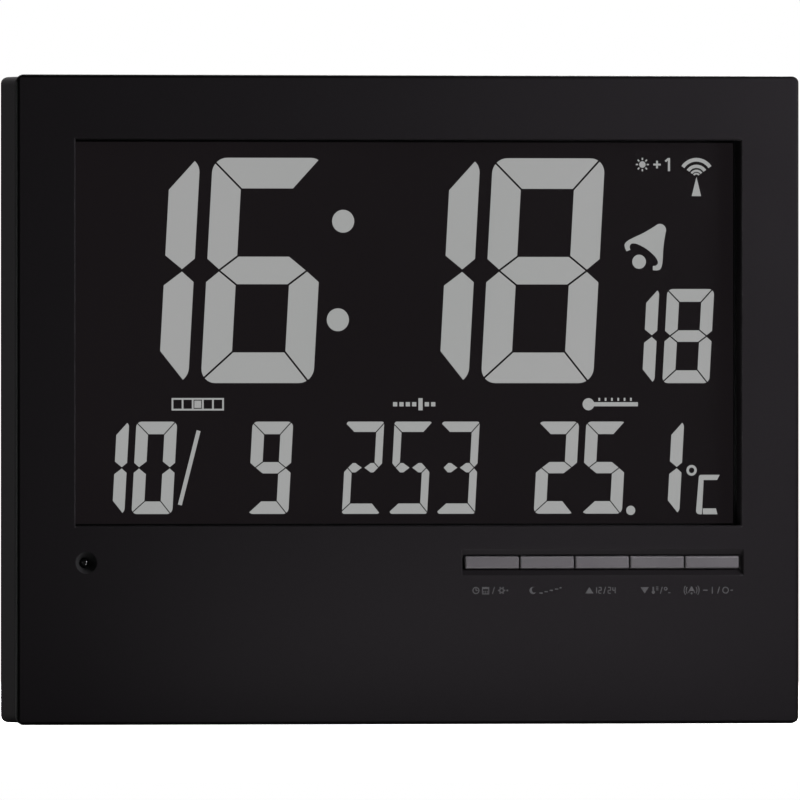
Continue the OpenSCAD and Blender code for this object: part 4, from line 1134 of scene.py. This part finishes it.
def digit_bars(high, wide, post, bar_h, corner, gap, split=0.0):
    """Outlines of the seven bars of a digit around its middle, by the letters a to g."""
    half_w, half_h, inner_w, inner_h = wide / 2, high / 2, wide / 2 - post, high / 2 - bar_h
    middle_h, shoulder_h = MIDDLE_SHARE * bar_h / 2, SHOULDER_SHARE * bar_h / 2

    def leaning(u, v):
        return (u + LEAN * v, v)

    def corner_saw(sx, sz):
        start = leaning(sx * inner_w, sz * inner_h)
        slant = math.radians(CORNER_SLANTS[sx, sz])
        return start, (start[0] + sx * math.cos(slant), start[1] + sz * math.sin(slant))

    def tip_saw(sx, u, v):
        return leaning(sx * (half_w - TIP_SHARE * post), 0.0), leaning(sx * u, v)

    plate = []
    for (sx, sz), turn in CORNER_STARTS.items():
        spots = arc(sx * (half_w - corner), sz * (half_h - corner), corner, turn, turn + 90, CORNER_STEPS)
        plate += [leaning(*spot) for spot in spots]
    bars = {}
    for letter, sz in LEVELS.items():
        keep = leaning(0.0, sz * (half_h - bar_h / 2))
        level = sawn(plate, leaning(-half_w, sz * inner_h), leaning(half_w, sz * inner_h), keep)
        for sx in (-1, 1):
            level = sawn(level, *corner_saw(sx, sz), keep, gap)
        bars[letter] = [level]
    for letter, (sx, sz) in POSTS.items():
        keep = leaning(sx * (half_w - post / 2), sz * half_h / 2)
        side = sawn(plate, leaning(sx * inner_w, -half_h), leaning(sx * inner_w, half_h), keep)
        side = sawn(side, *corner_saw(sx, sz), keep, gap)
        side = sawn(side, *tip_saw(sx, inner_w, sz * middle_h), keep, gap)
        bars[letter] = [sawn(side, *tip_saw(sx, half_w, sz * shoulder_h), keep, gap)]
    middle = plate
    for sz in (-1, 1):
        middle = sawn(middle, leaning(-half_w, sz * middle_h), leaning(half_w, sz * middle_h), (0.0, 0.0))
        for sx in (-1, 1):
            middle = sawn(middle, *tip_saw(sx, inner_w, sz * middle_h), (0.0, 0.0), gap)
    bars["g"] = split_bar(middle, inner_w, split, middle_h) if split else [middle]
    return bars


print("helper: digit_bars")

# %% Lit digits
LIT_BARS = ("abcdef", "bc", "abdeg", "abcdg", "bcfg", "acdfg", "acdefg", "abc", "abcdefg", "abcdfg")
TIME_LOOK = dict(high=64.9, wide=33.62, post=8.83, bar_h=8.83, corner=4.3, gap=0.55)
SECONDS_LOOK = dict(high=27.2, wide=14.09, post=3.70, bar_h=3.70, corner=1.67, gap=0.39)
SMALL_LOOK = dict(high=26.6, wide=12.13, post=3.62, bar_h=3.62, corner=1.60, gap=0.30)
WEEK_LOOK = dict(high=26.6, wide=11.17, post=2.21, bar_h=2.98, corner=0.71, gap=0.30, split=0.4)
TIME_MARGIN = 5.2
SMALL_MARGIN = 3.4
TIME_ROW = window_high - TIME_MARGIN - TIME_LOOK["high"] / 2
SECONDS_ROW = TIME_ROW - TIME_LOOK["high"] / 2 + SECONDS_LOOK["high"] / 2
SMALL_ROW = window_low + SMALL_MARGIN + SMALL_LOOK["high"] / 2
DIGITS = [
    (TIME_LOOK, TIME_ROW, ((1, -78.8), (6, -41.4), (1, 5.0), (8, 42.4))),
    (SECONDS_LOOK, SECONDS_ROW, ((1, 69.55), (8, 86.05))),
    (SMALL_LOOK, SMALL_ROW, ((1, -88.15), (0, -73.85), (9, -39.2), (2, 46.45), (5, 60.75), (1, 78.0))),
    (WEEK_LOOK, SMALL_ROW, ((2, -11.5), (5, 2.8), (3, 17.1)))]
COLON_X, COLON_RISE, COLON_R, COLON_STEPS = -18.25, 14.2, 3.3, 48
POINT_X, POINT_RISE, POINT_R = 68.75, 0.95, 1.35
SLASH_X, SLASH_RUN, SLASH_RISE, SLASH_W = -63.45, 5.6, 21.4, 1.17

lit_outlines = []
for look, row, places in DIGITS:
    bars = digit_bars(**look)
    for value, x in places:
        for letter in LIT_BARS[value]:
            lit_outlines += moved(bars[letter], x, row)
for rise in (-COLON_RISE, COLON_RISE):
    lit_outlines.append(disc(COLON_X + rise * LEAN, TIME_ROW + rise, COLON_R, COLON_STEPS))
lit_outlines.append(disc(POINT_X, SMALL_ROW - SMALL_LOOK["high"] / 2 + POINT_RISE, POINT_R))
lit_outlines.append(bar((SLASH_X - SLASH_RUN / 2, SMALL_ROW - SLASH_RISE / 2),
                        (SLASH_X + SLASH_RUN / 2, SMALL_ROW + SLASH_RISE / 2), SLASH_W))
lit_segments = tiles(
    "lit_segments", lit_outlines, TILE_FRONT, FILM_FACE, finishes["segment_pale"])
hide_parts("lcd_segments")
print("lit digits:", len(lit_outlines), "tiles")

# %% [markdown]
# Printed marks below the keys
#
# Below each key a small mark in grey ink says what it does. Pad-printed ink is a film of
# about a hundredth of a millimetre. It is made as real tiles that thin, so it follows the
# case when it is lit from the side. The keys' places come from their own boxes.

# %% Small shapes for the marks
def small_digit(value, x, z, width=1.05, height=2.0, stroke=0.3):
    """Number from up to seven short strokes."""
    w, h = width / 2 - stroke / 2, height / 2 - stroke / 2
    strokes = {
        "a": ((-w, h), (w, h)), "b": ((w, 0), (w, h)), "c": ((w, -h), (w, 0)), "d": ((-w, -h), (w, -h)),
        "e": ((-w, -h), (-w, 0)), "f": ((-w, 0), (-w, h)), "g": ((-w, 0), (w, 0))}
    lines = [strokes[letter] for letter in LIT_BARS[value]]
    return [bar((x + p[0], z + p[1]), (x + q[0], z + q[1]), stroke) for p, q in lines]


def slash(x, z, height=2.0, run=0.6, stroke=0.28):
    """Leaning stroke between two parts of a mark."""
    return bar((x - run / 2, z - height / 2), (x + run / 2, z + height / 2), stroke)


def triangle(x, z, way):
    """Arrow head that points up where way is 1 and down where it is -1."""
    return [(x - 1.25, z - way * 0.9), (x + 1.25, z - way * 0.9), (x, z + way * 0.95)]


def clock_mark(x, z, hand=0.26):
    """Small dial with two hands."""
    return ring(x, z, 1.05, 0.75) + [upright(x, z, z + 0.7, hand), bar((x, z), (x + 0.5, z), hand)]


def gear_mark(x, z, teeth=6):
    """Small toothed wheel."""
    return ring(x, z, 0.8, 0.4) + spokes(x, z, teeth, 0.6, 1.1, 0.4)


def leaf_mark(x, z):
    """Calendar leaf with a thick head and two rows of days."""
    sides = [upright(x + side * 0.95, z - 1.0, z + 0.4, 0.25) for side in (-1, 1)]
    days = [block(x + 0.55 * i, z - 0.25 - 0.45 * j, 0.32, 0.26) for i in (-1, 0, 1) for j in (0, 1)]
    return sides + days + [block(x, z + 0.7, 2.15, 0.6), block(x, z - 1.0, 2.15, 0.25)]


print("shapes: digit, slash, triangle, clock, gear, leaf")

# %% Marks for each key
def mode_mark(x, z):
    """Clock, calendar leaf and gear."""
    return clock_mark(x - 4.3, z) + leaf_mark(x - 1.4, z) + gear_mark(x + 3.4, z) + [
        slash(x + 0.95, z), block(x + 5.1, z, 0.5, 0.5)]


def snooze_mark(x, z, stroke=0.34):
    """Moon and rising steps."""
    moon = arc(x - 3.7, z, 1.05, 60, 330, 16) + arc(x - 3.25, z + 0.15, 0.82, 300, 85, 12)
    steps = [block(x - 1.3 + 1.55 * k, z - 0.75 + 0.38 * k, 1.0, stroke) for k in range(4)]
    return [moon] + steps + [block(x + 4.55, z + 0.75, 0.6, stroke)]


def hours_mark(x, z):
    """Upward arrow and the two ways to count the hours."""
    digits = [(1, -1.5), (2, -0.1), (2, 2.7), (4, 4.1)]
    lines = [line for value, step in digits for line in small_digit(value, x + step, z)]
    return [triangle(x - 3.3, z, 1), slash(x + 1.3, z)] + lines


def degree_mark(x, z):
    """Downward arrow, thermometer and a degree ring."""
    tube = [upright(x - 0.6, z - 0.3, z + 1.0, 0.5), disc(x - 0.6, z - 0.55, 0.5, 12)]
    ticks = [block(x + 0.55, z + 0.1 + 0.42 * k, 0.7, 0.22) for k in range(3)]
    scales = ring(x + 3.1, z + 0.45, 0.55, 0.28) + [block(x + 4.2, z - 0.7, 0.7, 0.3)]
    return [triangle(x - 3.2, z, -1), slash(x + 1.8, z)] + tube + ticks + scales


def alarm_mark(x, z, stroke=0.32):
    """Ringing bell, and a stroke and a ring for on and off."""
    bell = x - 5.6
    waves = [band(bell, z, r, r - 0.28, s - 35, s + 35, 6) for r in (1.75, 2.4) for s in (0, 180)]
    switch = [upright(x + 0.6, z - 1.0, z + 1.0, stroke), slash(x + 2.5, z)] + ring(x + 4.6, z, 1.0, 0.7)
    levers = [block(x - 1.5, z, 1.4, stroke), block(x + 6.4, z, 0.8, stroke)]
    return bell_sign(bell, z - 0.75, size=0.155, turn=0.0) + waves + switch + levers


print("marks: mode, snooze, hours, degree, alarm")

# %% Key marks
INK = 0.01 * MM
MARK_Z = 38.5
MARK_SHIFT = -0.8

key_marks = {
    "mode": mode_mark, "snooze": snooze_mark, "up": hours_mark, "down": degree_mark, "alarm": alarm_mark}
finishes["ink_grey"] = plain_finish(
    "ink_grey", dark=grey(0.025), light=grey(0.031), edge=grey(0.031), rough=(0.5, 0.6), grain=6000.0,
    depth=0.004 * MM)
for key, mark in key_marks.items():
    low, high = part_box(key + "_button")
    middle = (low.x + high.x) / 2 / MM + MARK_SHIFT
    tiles(key + "_mark", mark(middle, MARK_Z), FACE - INK, FACE, finishes["ink_grey"])
print("key marks:", sorted(key_marks))

# %% [markdown]
# Screws with a cross recess
#
# The shells and the boards are held by small pan-head screws. The mechanical model has them as
# plain pins, because a recess and a thread carry nothing there. Here each becomes a revolved
# form: a ring of points is carried from the floor of the recess over the head and down the thread
# to the tip. The recess is a cross, and seen from its middle a cross is just a radius that
# changes with the angle, so the same rings can follow it. Cutting it out with a Boolean would
# give the same shape with a less even mesh. Places and sizes are read from the pins.

# %% Reading the pins
PIN_REACH = 8 * MM
CORE_SHARE = 0.2
HEAD_SHARE = 0.97


def pins_of(node):
    """Middle, head radius, shank radius, top, underside of the head and tip of each pin in a node."""
    groups = []
    for vertex in nodes[node].data.vertices:
        spot = Vector((vertex.co.x, vertex.co.z))
        near = [g for g in groups if (g[0][0] - spot).length < PIN_REACH]
        if near:
            near[0].append((spot, vertex.co.y))
        else:
            groups.append([(spot, vertex.co.y)])
    pins = []
    for group in groups:
        xs, zs = [s.x for s, _ in group], [s.y for s, _ in group]
        middle = Vector(((min(xs) + max(xs)) / 2, (min(zs) + max(zs)) / 2))
        radii = [(s - middle).length for s, _ in group]
        head_r = max(radii)
        shank_r = min(r for r in radii if r > CORE_SHARE * head_r)
        under = min(y for (_, y), r in zip(group, radii) if r > HEAD_SHARE * head_r)
        depths = [y for _, y in group]
        pins.append((middle, head_r, shank_r, max(depths), under, min(depths)))
    return pins


print("helper: pins_of")

# %% Rings of a screw
RECESS_ARM = 0.56
RECESS_SLIT = 0.17
RECESS_DEPTH = 0.55
RECESS_TAPER = 0.8
HEAD_ROUNDS = ((0.72, 0.0), (0.88, 0.08), (1.0, 0.3), (1.0, 1.0))
THREAD_DEPTH = 0.2
THREAD_PITCH = 0.42
POINT_SHARE = 0.5
SLIT_TURN = math.degrees(math.atan(RECESS_SLIT / RECESS_ARM))
QUARTER_TURNS = (0, SLIT_TURN, 30, 45, 60, 90 - SLIT_TURN)
SCREW_TURNS = [math.radians(90 * quarter + turn) for quarter in range(4) for turn in QUARTER_TURNS]


def cross_radius(turn, arm, slit):
    """Distance from the middle of a cross to its outline in one direction."""
    along, across = sorted((abs(math.cos(turn)), abs(math.sin(turn))), reverse=True)
    return min(arm / along, slit / max(across, slit / arm * along))


def screw_rings(head_r, shank_r, top, under, tip):
    """Radii and depth of each ring, from the floor of the recess to the tip."""
    head_t, pitch = top - under, THREAD_PITCH * shank_r
    cross = [cross_radius(turn, RECESS_ARM * head_r, RECESS_SLIT * head_r) for turn in SCREW_TURNS]
    rings = [([RECESS_TAPER * r for r in cross], top - RECESS_DEPTH * head_t), (cross, top)]
    rows = [(share * head_r, top - drop * head_t) for share, drop in HEAD_ROUNDS] + [(shank_r, under)]
    for k in range(int((under - tip) / pitch) - 1):
        rows.append((shank_r * (1 - THREAD_DEPTH * (k % 2)), under - (k + 0.5) * pitch))
    rows.append((POINT_SHARE * shank_r, tip))
    return rings + [([r] * len(SCREW_TURNS), depth) for r, depth in rows]


print("helpers: cross_radius, screw_rings with", len(SCREW_TURNS), "points each")

# %% Screws
def screws(name, node, slot):
    """Screws in the place of a node's plain pins, as one piece."""
    mesh = bmesh.new()
    for middle, head_r, shank_r, top, under, tip in pins_of(node):
        rings = []
        for radii, depth in screw_rings(head_r, shank_r, top, under, tip):
            spots = [(middle.x + r * math.cos(turn), depth, middle.y + r * math.sin(turn))
                     for r, turn in zip(radii, SCREW_TURNS)]
            rings.append([mesh.verts.new(spot) for spot in spots])
        mesh.faces.new(rings[0])
        mesh.faces.new(rings[-1])
        for upper, lower in zip(rings, rings[1:]):
            join_rings(mesh, upper, lower)
    piece = case_piece(name, mesh, finishes[slot])
    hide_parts(node)
    return piece


for node in ("case_screws", "board_screws", "key_board_screws"):
    made = screws(node + "_crossed", node, "screw_steel")
    print(made.name, len(pins_of(node)), "screws,", len(made.data.polygons), "faces")

# %% [markdown]
# Sizes and the last line
#
# The frame's box was kept at the start.

# %% Boxes and finish
print("frame box kept at the start")
